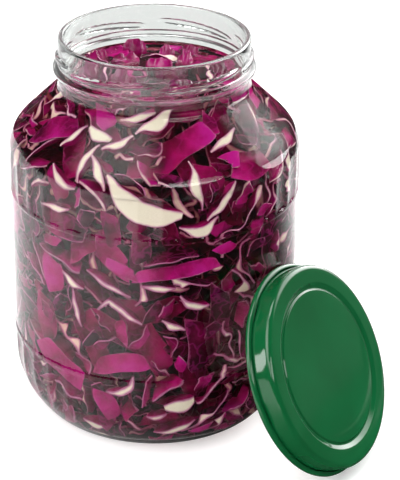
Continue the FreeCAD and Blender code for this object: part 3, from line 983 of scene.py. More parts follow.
@dataclass
class WallBed(Bed):
    """The inside of the glass, where the shreds that show are pressed flat."""

    wall: InnerWall
    ceiling: float
    lowest: float = 26.0
    least_turn: float = 14.0
    margin: float = 3.0

    def spot(self, random: np.random.RandomState) -> Pair:
        """Anywhere round the jar, from the floor's edge to under the brine's surface."""
        return (random.uniform(0, FULL_TURN),
                random.uniform(self.lowest, self.wall.length[-1] - self.margin))

    def lay(self, points: ndarray, spot: Pair, depth: float, gap: float) -> ndarray:
        """Wrap points round the inside of the glass."""
        sideways, along, behind = points.T
        behind = np.maximum(behind + depth, gap)
        around, start = spot
        radius, height, out, up = self.wall.at(
            np.clip(start + along, self.lowest * 0.6, self.wall.length[-1] - 0.5))
        angle = around + sideways / np.maximum(radius - depth * up, self.least_turn)
        across = radius - behind * up
        return np.stack([across * np.cos(angle), across * np.sin(angle),
                         np.minimum(height + behind * out, self.ceiling)], axis=1)


@dataclass
class TopBed(Bed):
    """The brine's surface, which the topmost shreds float up against."""

    level: float
    mouth: float
    proud: float = 0.7
    margin: float = 3.0

    def spot(self, random: np.random.RandomState) -> Pair:
        """Anywhere in the mouth."""
        out = math.sqrt(random.uniform(0, 1)) * (self.mouth - self.margin)
        around = random.uniform(0, FULL_TURN)
        return out * math.cos(around), out * math.sin(around)

    def lay(self, points: ndarray, spot: Pair, depth: float, gap: float) -> ndarray:
        """Lay points level, inside the glass, with a few just breaking the surface."""
        sideways, along, behind = points.T
        across, ahead = spot[0] + sideways, spot[1] + along
        reach = np.maximum(np.hypot(across, ahead), 1e-6)
        hold = np.minimum(1.0, (self.mouth - gap) / reach)
        height = self.level + self.proud - np.maximum(behind + depth, 0.0)
        return np.stack([across * hold, ahead * hold, height], axis=1)


RING_ACROSS = np.array([-1, 0, 1, 1, 1, 0, -1, -1], dtype=float)
RING_THROUGH = np.array([-1, -1, -1, 0, 1, 1, 1, 0], dtype=float)
RING = len(RING_ACROSS)
EDGE_MIDDLES = [3, 7]
LEAF_SIDES, RIB_SIDES = (0, 1, 4, 5), (4, 5)
SHRED_EDGE = 50.0


def flesh_depth(half: ndarray | float, sections: int) -> ndarray:
    """How deep each ring's points lie in the flesh: half the thickness amid a cut edge."""
    depth = np.zeros((sections, RING))
    depth[:, EDGE_MIDDLES] = np.reshape(half, (-1, 1))
    return depth.reshape(-1)


def join_shreds(name: str, shreds: Sequence[tuple[ndarray, ndarray, ndarray]], sections: int,
                finishes: Sequence[Finish], slot: str, node: str,
                sides: Sequence[int] = LEAF_SIDES, turn: Matrix | None = None) -> Object:
    """Make one piece of shreds, each a closed run of rings of eight points.

    Args:
        name: The piece's name.
        shreds: Each one's points in millimetres, ring by ring, their flesh and their tone.
        sections: Rings in each shred.
        finishes: The finish of the leaf's faces, and of the cut faces.
        slot: The record's material slot.
        node: The CAD node that they are part of.
        sides: Which faces round a ring have skin.
        turn: Where the whole is moved to, if it isn't in place.

    Returns:
        The piece.
    """
    share = np.linspace(-0.5, 0.5, sections)
    rim = np.maximum(np.abs(RING_ACROSS)[None, :], np.abs(share * 2)[:, None] ** 8)
    faces, numbers = [], []
    for first in range(0, len(shreds) * sections * RING, sections * RING):
        last = first + (sections - 1) * RING
        for here in range(first, last, RING):
            for corner in range(RING):
                other, there = (corner + 1) % RING, here + RING
                faces.append((here + other, here + corner, there + corner, there + other))
                numbers.append(0 if corner in sides else 1)
        faces += [tuple(range(first, first + RING)),
                  tuple(reversed(range(last, last + RING)))]
        numbers += [1, 1]
    points, flesh, tone = (np.concatenate(values) for values in zip(*shreds))
    mesh = bpy.data.meshes.new(name)
    mesh.from_pydata((points * MM).tolist(), [], faces)
    for label, values in (("flesh", flesh), ("tone", tone),
                          ("rim", np.tile(rim.reshape(-1), len(shreds)))):
        attribute = mesh.attributes.new(label, "FLOAT", "POINT")
        attribute.data.foreach_set("value", values.astype(np.float32))
    piece = bpy.data.objects.new(name, mesh)
    bpy.context.collection.objects.link(piece)
    if turn is not None:
        place(piece, turn)
    finish_piece(piece, finishes, slot, node)
    mesh.polygons.foreach_set("material_index", numbers)
    face_out(piece)
    smooth(piece, SHRED_EDGE)
    log.info("%s: %d shreds", name, len(shreds))
    return piece


class Lie(Enum):
    """How a shred is turned to what it is pressed against, in degrees of tilt."""

    FLAT = (0, 22)
    LEANING = (25, 62)
    EDGE = (62, 90)
    ANY = (0, 90)


@dataclass(frozen=True)
class Cut:
    """One shred as it is cut. Sizes are millimetres and angles radians.

    Attributes:
        width: Width of the cut.
        length: Length along the shred.
        thin: Thickness between the veins.
        veins: Place along it from -0.5 to 0.5, height and half width of each vein crossed.
        curl: Bend from end to end.
        crinkle: Steepness of the crinkles, and pitch: their length.
        frill: How far the cut edges wave.
        twist: Twist from end to end.
        bow: How far it bows sideways, as a share of its length.
        skew: How far each end is cut aslant, as a share of the width.
        phase: Where the crinkles start.
        fold: Place along it of a sharp fold, and the fold's angle.
        full: How square a vein's section is: 2 is a bell, 4 a loaf.
        ragged: How far the width varies along it, as a share.
    """

    width: float
    length: float
    thin: float
    veins: tuple[Triple, ...] = ()
    curl: float = 0.0
    crinkle: float = 0.0
    pitch: float = 12.0
    frill: float = 0.0
    twist: float = 0.0
    bow: float = 0.0
    skew: Pair = (0.2, -0.2)
    phase: float = 0.0
    fold: Pair = (0.0, 0.0)
    full: float = 2.0
    ragged: float = 0.14

    CRINKLE_SHARPNESS = 1.8
    FOLD_WIDTH = 0.9
    TAPER = 0.35
    TORN_EDGES = ((5.3, 1.0), (3.7, 2.3))
    DRIFT_ALONG, DRIFT_LENGTH, DRIFT_ACROSS = 0.2, 4.5, 0.14

    def swell(self, share: ndarray) -> ndarray:
        """How far the veins swell the leaf, at places along it from -0.5 to 0.5."""
        total = np.zeros_like(share)
        for spot, height, half_width in self.veins:
            total += height * np.exp(-np.abs((share - spot) * self.length / half_width)
                                     ** self.full)
        return total

    def tones(self, tone: float, share: ndarray) -> ndarray:
        """A tone at each point of its rings, which drifts along it and from edge to edge."""
        along = self.DRIFT_ALONG * np.sin(share * self.length / self.DRIFT_LENGTH
                                          + self.phase)[:, None]
        across = self.DRIFT_ACROSS * math.sin(self.phase * 3) * RING_ACROSS
        return (tone + along + across).reshape(-1)

    def spread(self, share: ndarray, across: ndarray, through: ndarray) -> ndarray:
        """Find points of the shred.

        Args:
            share: Places along it from -0.5 to 0.5, evenly spaced, one for each row.
            across: Places over the width from -1 to 1, one for each column.
            through: Places through the thickness from -1 to 1, one for each column.

        Returns:
            Rows and columns of points: along, across and out of the leaf's face.
        """
        crinkles = np.sin(share * self.length / self.pitch * FULL_TURN + self.phase)
        angle = self.curl * share * 2 + self.crinkle * np.tanh(self.CRINKLE_SHARPNESS * crinkles)
        angle += self.fold[1] / 2 * np.tanh((share - self.fold[0]) * self.length
                                            / self.FOLD_WIDTH)
        step = self.length / (len(share) - 1)
        between = (angle[1:] + angle[:-1]) / 2
        along = np.concatenate([[0.0], np.cumsum(np.cos(between))]) * step
        out = np.concatenate([[0.0], np.cumsum(np.sin(between))]) * step
        centre = np.stack([along - along.mean(),
                           self.bow * self.length * (1 / 12 - share ** 2) * 4,
                           out - out.mean()], axis=1)[:, None]
        nothing, side = np.zeros_like(angle), np.array([0.0, 1.0, 0.0])
        normal = np.stack([-np.sin(angle), nothing, np.cos(angle)], axis=1)[:, None]
        ahead = np.stack([np.cos(angle), nothing, np.sin(angle)], axis=1)[:, None]
        twist = (self.twist * share)[:, None, None]
        cos, sin = np.cos(twist), np.sin(twist)
        wide, up = side * cos + normal * sin, normal * cos - side * sin
        half = self.width / 2 * (1 - self.TAPER * np.abs(share * 2) ** 4)
        w, t = across[None, :, None], through[None, :, None]
        tear = 1.0
        for (size, start), reach in zip(self.TORN_EDGES, (1 + w, 1 - w)):
            wave = np.sin(share * self.length / size + self.phase * start)[:, None, None]
            tear = tear + self.ragged * wave * reach / 2
        thick = self.thin * t / 2 + self.swell(share)[:, None, None] * (t + 1) / 2
        ripple = self.frill * np.sin(share * self.length / (self.pitch * 0.7) * FULL_TURN
                                     + self.phase * 1.7)[:, None, None]
        points = centre + wide * (w * tear * half[:, None, None]) + up * (thick + ripple * w)
        ends = np.clip(np.abs(share * 2) * 3 - 2, 0, 1)
        slant = np.where(share < 0, self.skew[0], self.skew[1]) * ends * self.width
        return points + ahead * (slant[:, None, None] * w)


@dataclass(frozen=True)
class ShredKind:
    """A kind of shred, and how it lies. Pairs are lowest and highest, sizes millimetres.

    What isn't listed is as in Cut.

    Attributes:
        count: How many are tried.
        lie: How they are turned to the glass.
        veins: Fewest and most veins crossed.
        vein: Height of a vein.
        curl: Largest bend from end to end, in radians.
        crinkle: Largest steepness of the crinkles.
        depth: Least and most depth that they are tried at.
    """

    count: int
    lie: Lie
    width: Pair
    length: Pair
    thin: Pair
    veins: tuple[int, int]
    vein: Pair
    curl: float
    crinkle: float
    depth: Pair


@dataclass(frozen=True)
class PlacedShred:
    """A large shred that lies at the glass in a place of its own.

    Sizes are millimetres and angles degrees. What isn't listed is as in Cut.

    Attributes:
        around: Angle about the jar's axis.
        height: Height of its middle.
        heading: Which way it runs, from level to the right as seen through the glass.
        tilt: How far it is turned up on its cut edge: 90 bellies down, -90 bellies up.
        thick: Height of its vein, spread: that vein's half width, vein_at: where it is.
        tone: How bright it is, from 0 to 1.
        depth: How far behind the glass it lies.
    """

    around: float
    height: float
    heading: float
    tilt: float
    width: float
    length: float
    thick: float = 0.0
    spread: float = 3.0
    vein_at: float = 0.0
    curl: float = 12.0
    crinkle: float = 6.0
    fold: Pair = (0.0, 0.0)
    tone: float = 0.6
    depth: float = 0.0
    thin: float = 0.6
    full: float = 2.0

    def cut(self) -> Cut:
        """How it is cut."""
        veins = ((self.vein_at, self.thick, self.spread),) if self.thick else ()
        return Cut(self.width, self.length, self.thin, veins, curl=math.radians(self.curl),
                   crinkle=math.radians(self.crinkle), pitch=13.0, frill=0.2, bow=0.02,
                   skew=(0.2, -0.1), phase=self.around,
                   fold=(self.fold[0], math.radians(self.fold[1])), full=self.full)

    def turn(self) -> Matrix:
        """How it is turned."""
        return (Matrix.Rotation(math.radians(self.heading), 3, "Z")
                @ Matrix.Rotation(math.radians(self.tilt), 3, "X"))

    def spot(self, bed: WallBed) -> Pair:
        """Where it lies on the glass."""
        return math.radians(self.around), bed.wall.rise(self.height)


@dataclass
class ShreddedCabbage:
    """Shreds cut across rolled red cabbage leaves: purple skins, pale cut edges.

    Attributes:
        room: The space that they fill.
        finishes: The finish of the leaf's faces, and of the cut faces.
        seed: Where the fixed run of random numbers starts.
        tries: Places tried for each shred.
        slack: Share of a shred that may be pressed into others.
        grain: Distance between the points of a shred that are tried for room.
        step: Distance between the depths that a strewn shred is tried at.
        placed_step: The same for a placed shred, and placed_reach: how deep it may sink.
        darkness: How many more shreds are dark than bright: as many at 1, more above it.
    """

    room: Room
    finishes: Sequence[Finish]
    seed: int = 7
    tries: int = 8
    slack: float = 0.03
    grain: float = 0.8
    step: float = 0.8
    placed_step: float = 0.7
    placed_reach: float = 6.0
    darkness: float = 1.5
    random: np.random.RandomState = field(init=False)

    VEIN_PLACE, VEIN_HALF_WIDTH = (-0.42, 0.42), (1.2, 3.6)
    VARIED = {"pitch": (8.0, 17.0), "frill": (0.0, 0.9), "twist": (-0.7, 0.7),
              "bow": (-0.06, 0.06)}
    SKEW = (-0.5, 0.5)
    PITCHED, PITCHED_ANY_WAY = 9, 25
    GAP = (0.25, 0.6)

    def __post_init__(self) -> None:
        """Start the fixed run of random numbers."""
        self.random = np.random.RandomState(self.seed)

    def between(self, limits: Pair) -> float:
        """A random number between two limits."""
        return float(self.random.uniform(*limits))

    def cut(self, kind: ShredKind) -> Cut:
        """Cut one shred of a kind."""
        length = self.between(kind.length)
        veins = tuple(
            (self.between(self.VEIN_PLACE), self.between(kind.vein),
             self.between(self.VEIN_HALF_WIDTH))
            for _ in range(self.random.randint(kind.veins[0], kind.veins[1] + 1)))
        return Cut(self.between(kind.width), length, self.between(kind.thin), veins,
                   curl=self.between((-1, 1)) * kind.curl,
                   crinkle=self.between((0.1, 1.0)) * kind.crinkle,
                   **{name: self.between(limits) for name, limits in self.VARIED.items()},
                   skew=(self.between(self.SKEW), self.between(self.SKEW)),
                   phase=self.between((0, FULL_TURN)))

    def turn(self, lie: Lie) -> Matrix:
        """Choose how a shred is turned: along, across and out to sideways, along and behind."""
        heading = self.between((0, math.pi))
        side = 1.0 if self.random.uniform() < 0.5 else -1.0
        tilt = side * math.radians(self.between(lie.value))
        most = self.PITCHED_ANY_WAY if lie is Lie.ANY else self.PITCHED
        pitch = math.radians(self.random.normal(0, most))
        return (Matrix.Rotation(heading, 3, "Z") @ Matrix.Rotation(pitch, 3, "Y")
                @ Matrix.Rotation(tilt, 3, "X"))

    def press(self, cut: Cut, turn: Matrix, bed: Bed, spot: Pair, depths: Sequence[float],
              sections: int) -> ndarray | None:
        """Lay a shred as near to a bed as there is room.

        Args:
            cut: The shred.
            turn: How it is turned.
            bed: What it lies against.
            spot: Where its middle goes.
            depths: The depths to try, in order.
            sections: How many rings it has.

        Returns:
            Its rings of points, or None where there is no room.
        """
        turned = np.array(turn)
        fine = np.linspace(-0.5, 0.5, max(8, int(cut.length / self.grain)))
        columns = np.linspace(-1, 1, max(4, int(cut.width / self.grain)))
        layers = np.linspace(-1, 1, 2 + int(float(cut.swell(fine).max()) / self.grain))
        sample = np.concatenate([cut.spread(fine, columns, np.full(len(columns), level))
                                 for level in layers], axis=1).reshape(-1, 3) @ turned.T
        rings = cut.spread(np.linspace(-0.5, 0.5, sections), RING_ACROSS, RING_THROUGH)
        rings = rings.reshape(-1, 3) @ turned.T
        nearest = np.quantile(sample[:, 2], self.slack)
        sample[:, 2] -= nearest
        rings[:, 2] -= nearest
        gap = self.between(self.GAP)
        for depth in depths:
            held = bed.lay(sample, spot, depth, gap)
            if self.room.crowding(held) < self.slack:
                self.room.fill(held)
                return bed.lay(rings, spot, depth, gap)
        return None

    def fill(self, name: str, bed: Bed, slot: str, sections: int, kinds: Sequence[ShredKind],
             placed: Sequence[PlacedShred] = ()) -> Object:
        """Make the shreds of some kinds as one piece.

        Args:
            name: The piece's name.
            bed: What they lie against.
            slot: The record's material slot.
            sections: Rings in each shred.
            kinds: The kinds of shred in it.
            placed: Shreds with a place of their own, which go in first.

        Returns:
            The piece.
        """
        share, shreds = np.linspace(-0.5, 0.5, sections), []

        def keep(cut: Cut, points: ndarray, tone: float) -> None:
            flesh = flesh_depth((cut.thin + cut.swell(share)) / 2, sections)
            shreds.append((points, flesh, cut.tones(tone, share)))

        for shred in placed:
            depths = np.arange(shred.depth, shred.depth + self.placed_reach, self.placed_step)
            points = self.press(shred.cut(), shred.turn(), bed, shred.spot(bed), depths,
                                sections)
            if points is not None:
                keep(shred.cut(), points, shred.tone)
        for kind in kinds:
            depths = np.arange(*kind.depth, self.step)
            for _ in range(kind.count):
                cut = self.cut(kind)
                for _ in range(self.tries):
                    points = self.press(cut, self.turn(kind.lie), bed, bed.spot(self.random),
                                        depths, sections)
                    if points is not None:
                        keep(cut, points, self.between((0, 1)) ** self.darkness)
                        break
        return join_shreds(name, shreds, sections, self.finishes, slot, "cabbage")


def rib(around: float, height: float, heading: float, length: float, thick: float,
        tilt: float = 90.0, width: float = 5.0, **more: float) -> PlacedShred:
    """A cream rib slice with its cut face to the glass."""
    return PlacedShred(around, height, heading, tilt, width, length, thick - 0.6,
                       spread=more.pop("spread", length * 0.38),
                       crinkle=more.pop("crinkle", 2.0), full=more.pop("full", 3.0), **more)


def edge(around: float, height: float, heading: float, length: float, thick: float = 1.0,
         tilt: float = 72.0, width: float = 8.0, **more: float) -> PlacedShred:
    """A leaf strip that shows its cut edge."""
    return PlacedShred(around, height, heading, tilt, width, length, thin=thick, **more)


def face(around: float, height: float, heading: float, length: float, width: float,
         tone: float, tilt: float = 12.0, **more: float) -> PlacedShred:
    """A leaf strip that shows its skin."""
    return PlacedShred(around, height, heading, tilt, width, length, tone=tone, **more)


FRONT_RIBS = (
    rib(206, 117, -26, 31, 9.6, curl=-14, width=6, spread=13.5, full=3.2, crinkle=0.0,
        vein_at=0.03),
    rib(210, 142, 38, 18, 6.0, curl=8, spread=6.0),
    rib(200, 143, 18, 13, 3.6, curl=10),
    rib(181, 136, -18, 10, 5.0, curl=6, spread=5.0),
    rib(190, 141, -4, 15, 2.4, curl=14),
    rib(228, 121, -82, 19, 4.4, curl=10, spread=5.5),
    rib(221, 115, -62, 15, 3.2, curl=-8),
    rib(228, 105, 10, 15, 5.0, curl=-30, spread=5.0),
    rib(237, 114, 48, 17, 3.4, curl=8),
    rib(246, 133, 22, 15, 3.4, curl=10),
    rib(254, 130, -50, 12, 3.0, curl=14),
    rib(178, 127, 78, 17, 2.8, curl=38),
    rib(187, 125, -58, 15, 3.6, curl=24),
    rib(171, 120, -26, 13, 3.2, curl=-20),
    rib(191, 134, 32, 12, 3.4, curl=8),
    rib(166, 133, 60, 12, 2.6, curl=16),
    rib(168, 108, 4, 12, 3.0, curl=10),
    rib(192, 80, -27, 19, 2.2, curl=4, tilt=80),
    rib(185, 86, -80, 8, 3.2, curl=4),
    rib(176, 78, -30, 10, 3.6, curl=6),
    rib(196, 69, 4, 22, 2.6, fold=(-0.22, 82), curl=4, spread=9.0),
    rib(178, 66, -76, 15, 2.4, curl=6),
    rib(212, 80, -6, 12, 3.0, curl=8),
    rib(219, 78, -16, 10, 2.6, curl=-12),
    rib(226, 72, -24, 12, 3.2, curl=-24),
    rib(218, 63, -30, 9, 3.4, curl=12),
    rib(220, 28, 12, 11, 6.5, curl=4, spread=6.0),
    rib(219, 14, 22, 16, 3.6, curl=-8),
    rib(183, 13, -8, 9, 4.6, curl=6),
    rib(197, 34, 38, 13, 3.4, curl=-34),
    rib(211, 21, 10, 7, 2.6, curl=-16),
)

FRONT_EDGES = (
    edge(186, 118, -36, 17, 1.5, curl=48, crinkle=12),
    edge(185, 112, -12, 15, 1.6, curl=-52, crinkle=10),
    edge(193, 111, -84, 13, 1.3, curl=30),
    edge(201, 108, -62, 20, 0.9, curl=-28, tone=0.8),
    edge(160, 128, 38, 20, 0.8, curl=6, tone=0.7, tilt=60),
    edge(164, 120, -68, 17, 0.9, crinkle=34, tone=0.75, tilt=56),
    edge(171, 139, -40, 14, 0.9, crinkle=36, tone=0.7, tilt=56),
    edge(151, 120, 22, 17, 0.7, curl=4, tilt=62),
    edge(173, 89, -11, 31, 1.3, curl=8, crinkle=7),
    edge(169, 86, -14, 20, 0.9, curl=5, crinkle=14),
    edge(180, 76, -36, 22, 1.5, curl=5, crinkle=8),
    edge(158, 80, -58, 14, 1.2, curl=8),
    edge(155, 76, -36, 14, 1.0, crinkle=16),
    edge(172, 70, -48, 20, 1.1, crinkle=26),
    edge(200, 73, 6, 18, 1.3, crinkle=18),
    edge(202, 63, 10, 13, 1.3, curl=-22),
    edge(165, 42, -30, 15, 1.1, crinkle=30),
    edge(217, 92, 8, 20, 0.6, curl=8, tone=0.2),
    edge(262, 113, -84, 16, 1.0, crinkle=22),
    edge(250, 125, 14, 12, 0.8, crinkle=20),
    edge(224, 46, -86, 28, 0.6, curl=5, tone=0.15, tilt=62),
    edge(172, 27, -20, 15, 1.1, crinkle=34),
    edge(215, 34, 34, 13, 0.9, curl=12),
)

FRONT_FACES = (
    face(217, 132, 20, 39, 12, 0.78, fold=(-0.18, -46), curl=4, crinkle=2),
    face(235, 121, -80, 18, 11, 0.56, tilt=16, depth=0.6),
    face(227, 146, 4, 18, 12, 0.4, curl=6),
    face(195, 131, -8, 18, 15, 0.74, curl=8, depth=0.8),
    face(168, 129, -66, 24, 9, 0.62, crinkle=16),
    face(152, 132, 30, 22, 11, 0.4, curl=8),
    face(165, 116, -72, 14, 7, 0.98, crinkle=14),
    face(255, 124, -6, 18, 12, 0.5, curl=6, depth=1.2),
    face(247, 113, -78, 14, 9, 0.4, depth=0.8),
    face(225, 114, -40, 11, 9, 0.2, depth=1.8),
    face(165, 77, -84, 15, 9.5, 0.82, curl=10),
    face(187, 79, -34, 21, 9, 0.84, curl=8, crinkle=10),
    face(219, 86, 7, 34, 6.0, 0.86, curl=4, tilt=24),
    face(228, 79, 42, 14, 9, 0.7),
    face(206, 56, -62, 36, 11, 0.74, curl=10, crinkle=6),
    face(193, 57, -22, 30, 10, 0.62, curl=8, depth=0.5),
    face(196, 44, 12, 22, 8, 0.86, curl=6, depth=0.6),
    face(168, 38, -28, 26, 10, 0.88, curl=6),
    face(182, 50, -66, 22, 9, 0.5, depth=1.0),
    face(204, 32, -8, 14, 8, 0.9, curl=6),
    face(159, 55, -78, 20, 9, 0.6, depth=0.5),
    face(214, 67, 18, 18, 8, 0.5, depth=0.8),
    face(229, 52, -84, 22, 12, 0.22, depth=0.8),
    face(228, 33, -80, 20, 11, 0.25, depth=0.5),
    face(212, 14, 14, 16, 7, 0.8),
    face(190, 24, -70, 14, 8, 0.66),
    face(205, 96, -86, 12, 8, 0.4, depth=1.2),
    face(193, 103, -80, 14, 7, 0.5, depth=0.8),
)


@dataclass
class PackedMiddle:
    """The rest of the cabbage, packed in the middle of the jar where no shred shows."""

    wall: InnerWall
    depth: float = 20.0
    bottom: float = 12.0
    top: float = 128.0
    lump: float = 12.0
    lump_height: float = 7.0
    steps: int = 72
    facet: float = 60.0

    def build(self, finish: Finish) -> Object:
        """Model the middle as a lumpy turned form."""
        radius = float(self.wall.radius.max()) - self.depth
        outline = rounded([
            Corner(0, self.bottom), Corner(radius - 4, self.bottom, 8, 5, 3),
            Corner(radius, 40, 20, 5, 4), Corner(radius, self.top - 10, 8, 5, 12),
            Corner(radius * 0.7, self.top, 6, 4, 2), Corner(0, self.top, rows=5)])
        piece = lathe("packed_cabbage", outline, self.steps)
        choose(piece)
        lumps = bpy.data.textures.new("packed_lumps", "CLOUDS")
        lumps.noise_scale = self.lump * MM
        push = piece.modifiers.new("lumps", "DISPLACE")
        push.texture, push.strength, push.mid_level = lumps, self.lump_height * MM, 0.5
        bpy.ops.object.modifier_apply(modifier="lumps")
        smooth(piece, self.facet)
        finish_piece(piece, [finish], "cabbage", "cabbage")
        return piece


# ---------------------------------------------------------------- the cap

@dataclass
class Cap:
    """The twist-off cap: panel, groove, raised ring over the seal, skirt, curl and lugs.

    Sizes are millimetres along and about the cap's own axis, open edge at 0.
    """

    jar: Jar
    height: float = 10.5
    sheet: float = 0.4
    clearance: float = 1.0
    lug_depth: float = 1.4
    skirt_bend: float = 2.2
    curl_radius: float = 1.3
    curl_inset: float = 0.15
    ring_inset: float = 2.4
    groove_slope: float = 1.7
    groove_width: float = 0.7
    groove_depth: float = 1.0
    panel_slope: float = 0.5
    panel_depth: float = 0.5
    lug_catch: float = 0.7
    lug_angle: float = 15.0
    seal_thickness: float = 1.1
    seal_clearance: float = 0.4
    seal_bend: float = 0.45
    track_width: float = 2.4
    track_depth: float = 0.35
    lean: float = 63.0
    offset: float = -11.0
    steps: int = 240
    seal_steps: int = 180

    def skirt(self) -> float:
        """Outside of the skirt."""
        return self.jar.neck_radius + self.lug_depth + self.clearance + self.sheet

    def ring(self) -> float:
        """Inside of the raised ring over the seal."""
        return self.jar.mouth() - self.ring_inset

    def outline(self) -> Outline:
        """Outside from the middle of the panel to the curl, and back along the inside."""
        sheet, side, skirt, ring = self.sheet, self.sheet / 2, self.skirt(), self.ring()
        groove = ring - self.groove_slope
        panel = groove - self.groove_width - self.panel_slope
        top, middle = self.height, self.height - self.panel_depth
        low = self.height - self.groove_depth
        flat = groove - self.groove_width
        outer = rounded([
            Corner(0, middle), Corner(panel, middle, 0.6, 4, 6), Corner(flat, low, 0.4, 3),
            Corner(groove, low, 0.8, 4), Corner(ring, top, 1.2, 6),
            Corner(skirt, top, self.skirt_bend, 9, 3), Corner(skirt, self.curl_radius, rows=3)])
        inner_skirt = skirt - sheet
        centre = inner_skirt - self.curl_inset + self.curl_radius
        curl = [(centre + self.curl_radius * math.cos(angle),
                 self.curl_radius + self.curl_radius * math.sin(angle))
                for angle in (math.radians(100 - step * 20) for step in range(15))]
        inner = rounded([
            Corner(inner_skirt, self.curl_radius * 1.9),
            Corner(inner_skirt, top - sheet, 1.8, 6, 3),
            Corner(ring + side, top - sheet, 0.9, 4, 2),
            Corner(groove + side, low - sheet, 0.5, 3),
            Corner(flat - side, low - sheet, 0.5, 3),
            Corner(panel - side, middle - sheet, 0.4, 3), Corner(0, middle - sheet, rows=4)])
        return outer + curl + inner

    def press(self, radius: float, height: float, angle: float) -> float | None:
        """Where a point of the skirt is pressed to by the lugs, which turn in from the curl."""
        pitch = FULL_TURN / self.jar.lug_count
        half = math.radians(self.lug_angle / 2)
        inner = self.skirt() - self.sheet - self.curl_inset
        reach = inner - (self.jar.neck_radius + self.lug_depth - self.lug_catch)
        offset = abs((angle + pitch / 2) % pitch - pitch / 2)
        curl = self.curl_radius
        if height > 2 * curl or radius > inner + curl or offset > half:
            return None
        share = math.cos(offset / half * math.pi / 2) ** 0.5
        hold = (inner + curl - radius) / curl
        return radius - reach * share * min(1.0, hold)

    def paint_inside(self, piece: Object) -> None:
        """Give the inside of the panel and the skirt the second finish."""
        for face in piece.data.polygons:
            radius, height = math.hypot(*face.center.xy) / MM, face.center.z / MM
            inward = face.normal.xy.dot(face.center.xy) < 0
            under = face.normal.z < -0.3 and height > self.height - 3
            skirt = inward and height > 2 * self.curl_radius and radius > self.ring() + 3
            face.material_index = int(under or skirt)

    def stand(self) -> Matrix:
        """Where the cap leans: its curl on the table, tipped by lean, as far out as its solid."""
        tip, curl, bend = math.radians(self.lean), self.curl_radius, self.skirt_bend
        centre = self.skirt() - self.sheet - self.curl_inset + curl
        up = centre * math.sin(tip) - curl * math.cos(tip) + curl
        shoulder = ((self.skirt() - bend) * math.cos(tip)
                    + (self.height - bend) * math.sin(tip) + bend)
        lowest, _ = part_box("cap")
        foot = Vector((self.offset * MM, lowest[1] + shoulder * MM, up * MM))
        return Matrix.Translation(foot) @ Matrix.Rotation(tip, 4, "X")

    def build(self, enamel: Finish, lining: Finish) -> Object:
        """Model the cap in place of its solid."""
        piece = lathe("twist_off_cap", self.outline(), self.steps)
        press_round(piece, self.press)
        finish_piece(piece, [enamel, lining], "enamel", "cap")
        self.paint_inside(piece)
        place(piece, self.stand())
        smooth(piece)
        return piece

    def build_seal(self, compound: Finish) -> Object:
        """Model the sealing ring, with the faint track that the lip leaves in it."""
        top = self.height - self.sheet
        inner = self.ring() + self.sheet / 2
        outer = self.skirt() - self.skirt_bend - self.seal_clearance
        low, bend, half = top - self.seal_thickness, self.seal_bend, self.track_width / 2
        track = (inner + outer) / 2
        outline = rounded([
            Corner(inner, top), Corner(inner, low, bend, 4), Corner(track - half, low, 0.5, 3),
            Corner(track, low + self.track_depth, 0.8, 4), Corner(track + half, low, 0.5, 3),
            Corner(outer, low, bend, 4), Corner(outer, top), Corner(inner, top)])
        piece = lathe("sealing_ring", outline, self.seal_steps)
        place(piece, self.stand())
        smooth(piece)
        finish_piece(piece, [compound], "seal", "cap_seal")
        return piece


# ---------------------------------------------------------------- shreds that stand out

@dataclass(frozen=True)
class StandingShred:
    """A curled piece of cabbage that stands out of the brine.

    Sizes are millimetres. Its place is a share of the way from the axis to the mouth and an
    angle about the axis; its hollow back faces away from heading, and it leans back by lean.
    """

    node: str
    width: float
    length: float
    bend: float
    rise: float
    share: float
    around: float
    heading: float
    lean: float

    def is_rib(self) -> bool:
        """Whether it is cut from a thick leaf rib."""
        return self.node.startswith("rib")


STANDING_SHREDS = (
    StandingShred("leaf_1", 10.5, 10.0, 16.0, 4.6, 0.89, 46.0, 226.0, 20.0),
    StandingShred("leaf_2", 8.0, 8.0, 12.0, 2.5, 0.92, 1.0, 190.0, 35.0),
    StandingShred("leaf_3", 7.0, 9.0, 10.0, 3.2, 0.72, 17.0, 215.0, 40.0),
    StandingShred("leaf_4", 12.0, 10.0, 12.0, 3.0, 0.25, 15.0, 205.0, 45.0),
    StandingShred("leaf_5", 9.0, 9.0, 14.0, 2.6, 0.91, 79.0, 240.0, 40.0),
    StandingShred("leaf_6", 11.0, 12.0, 25.0, 1.5, 0.61, 66.0, 210.0, 70.0),
    StandingShred("leaf_7", 12.0, 10.0, 12.0, 3.4, 0.53, 160.0, 200.0, 30.0),
    StandingShred("leaf_8", 11.0, 11.0, 15.0, 2.4, 0.59, -112.0, 230.0, 50.0),
    StandingShred("leaf_9", 11.0, 10.0, 13.0, 3.0, 0.78, 122.0, 250.0, 45.0),
    StandingShred("rib_1", 7.0, 13.0, 20.0, 2.8, 0.60, -9.0, 200.0, 55.0),
    StandingShred("rib_2", 8.0, 13.0, 22.0, 2.2, 0.78, -62.0, 180.0, 60.0),
)


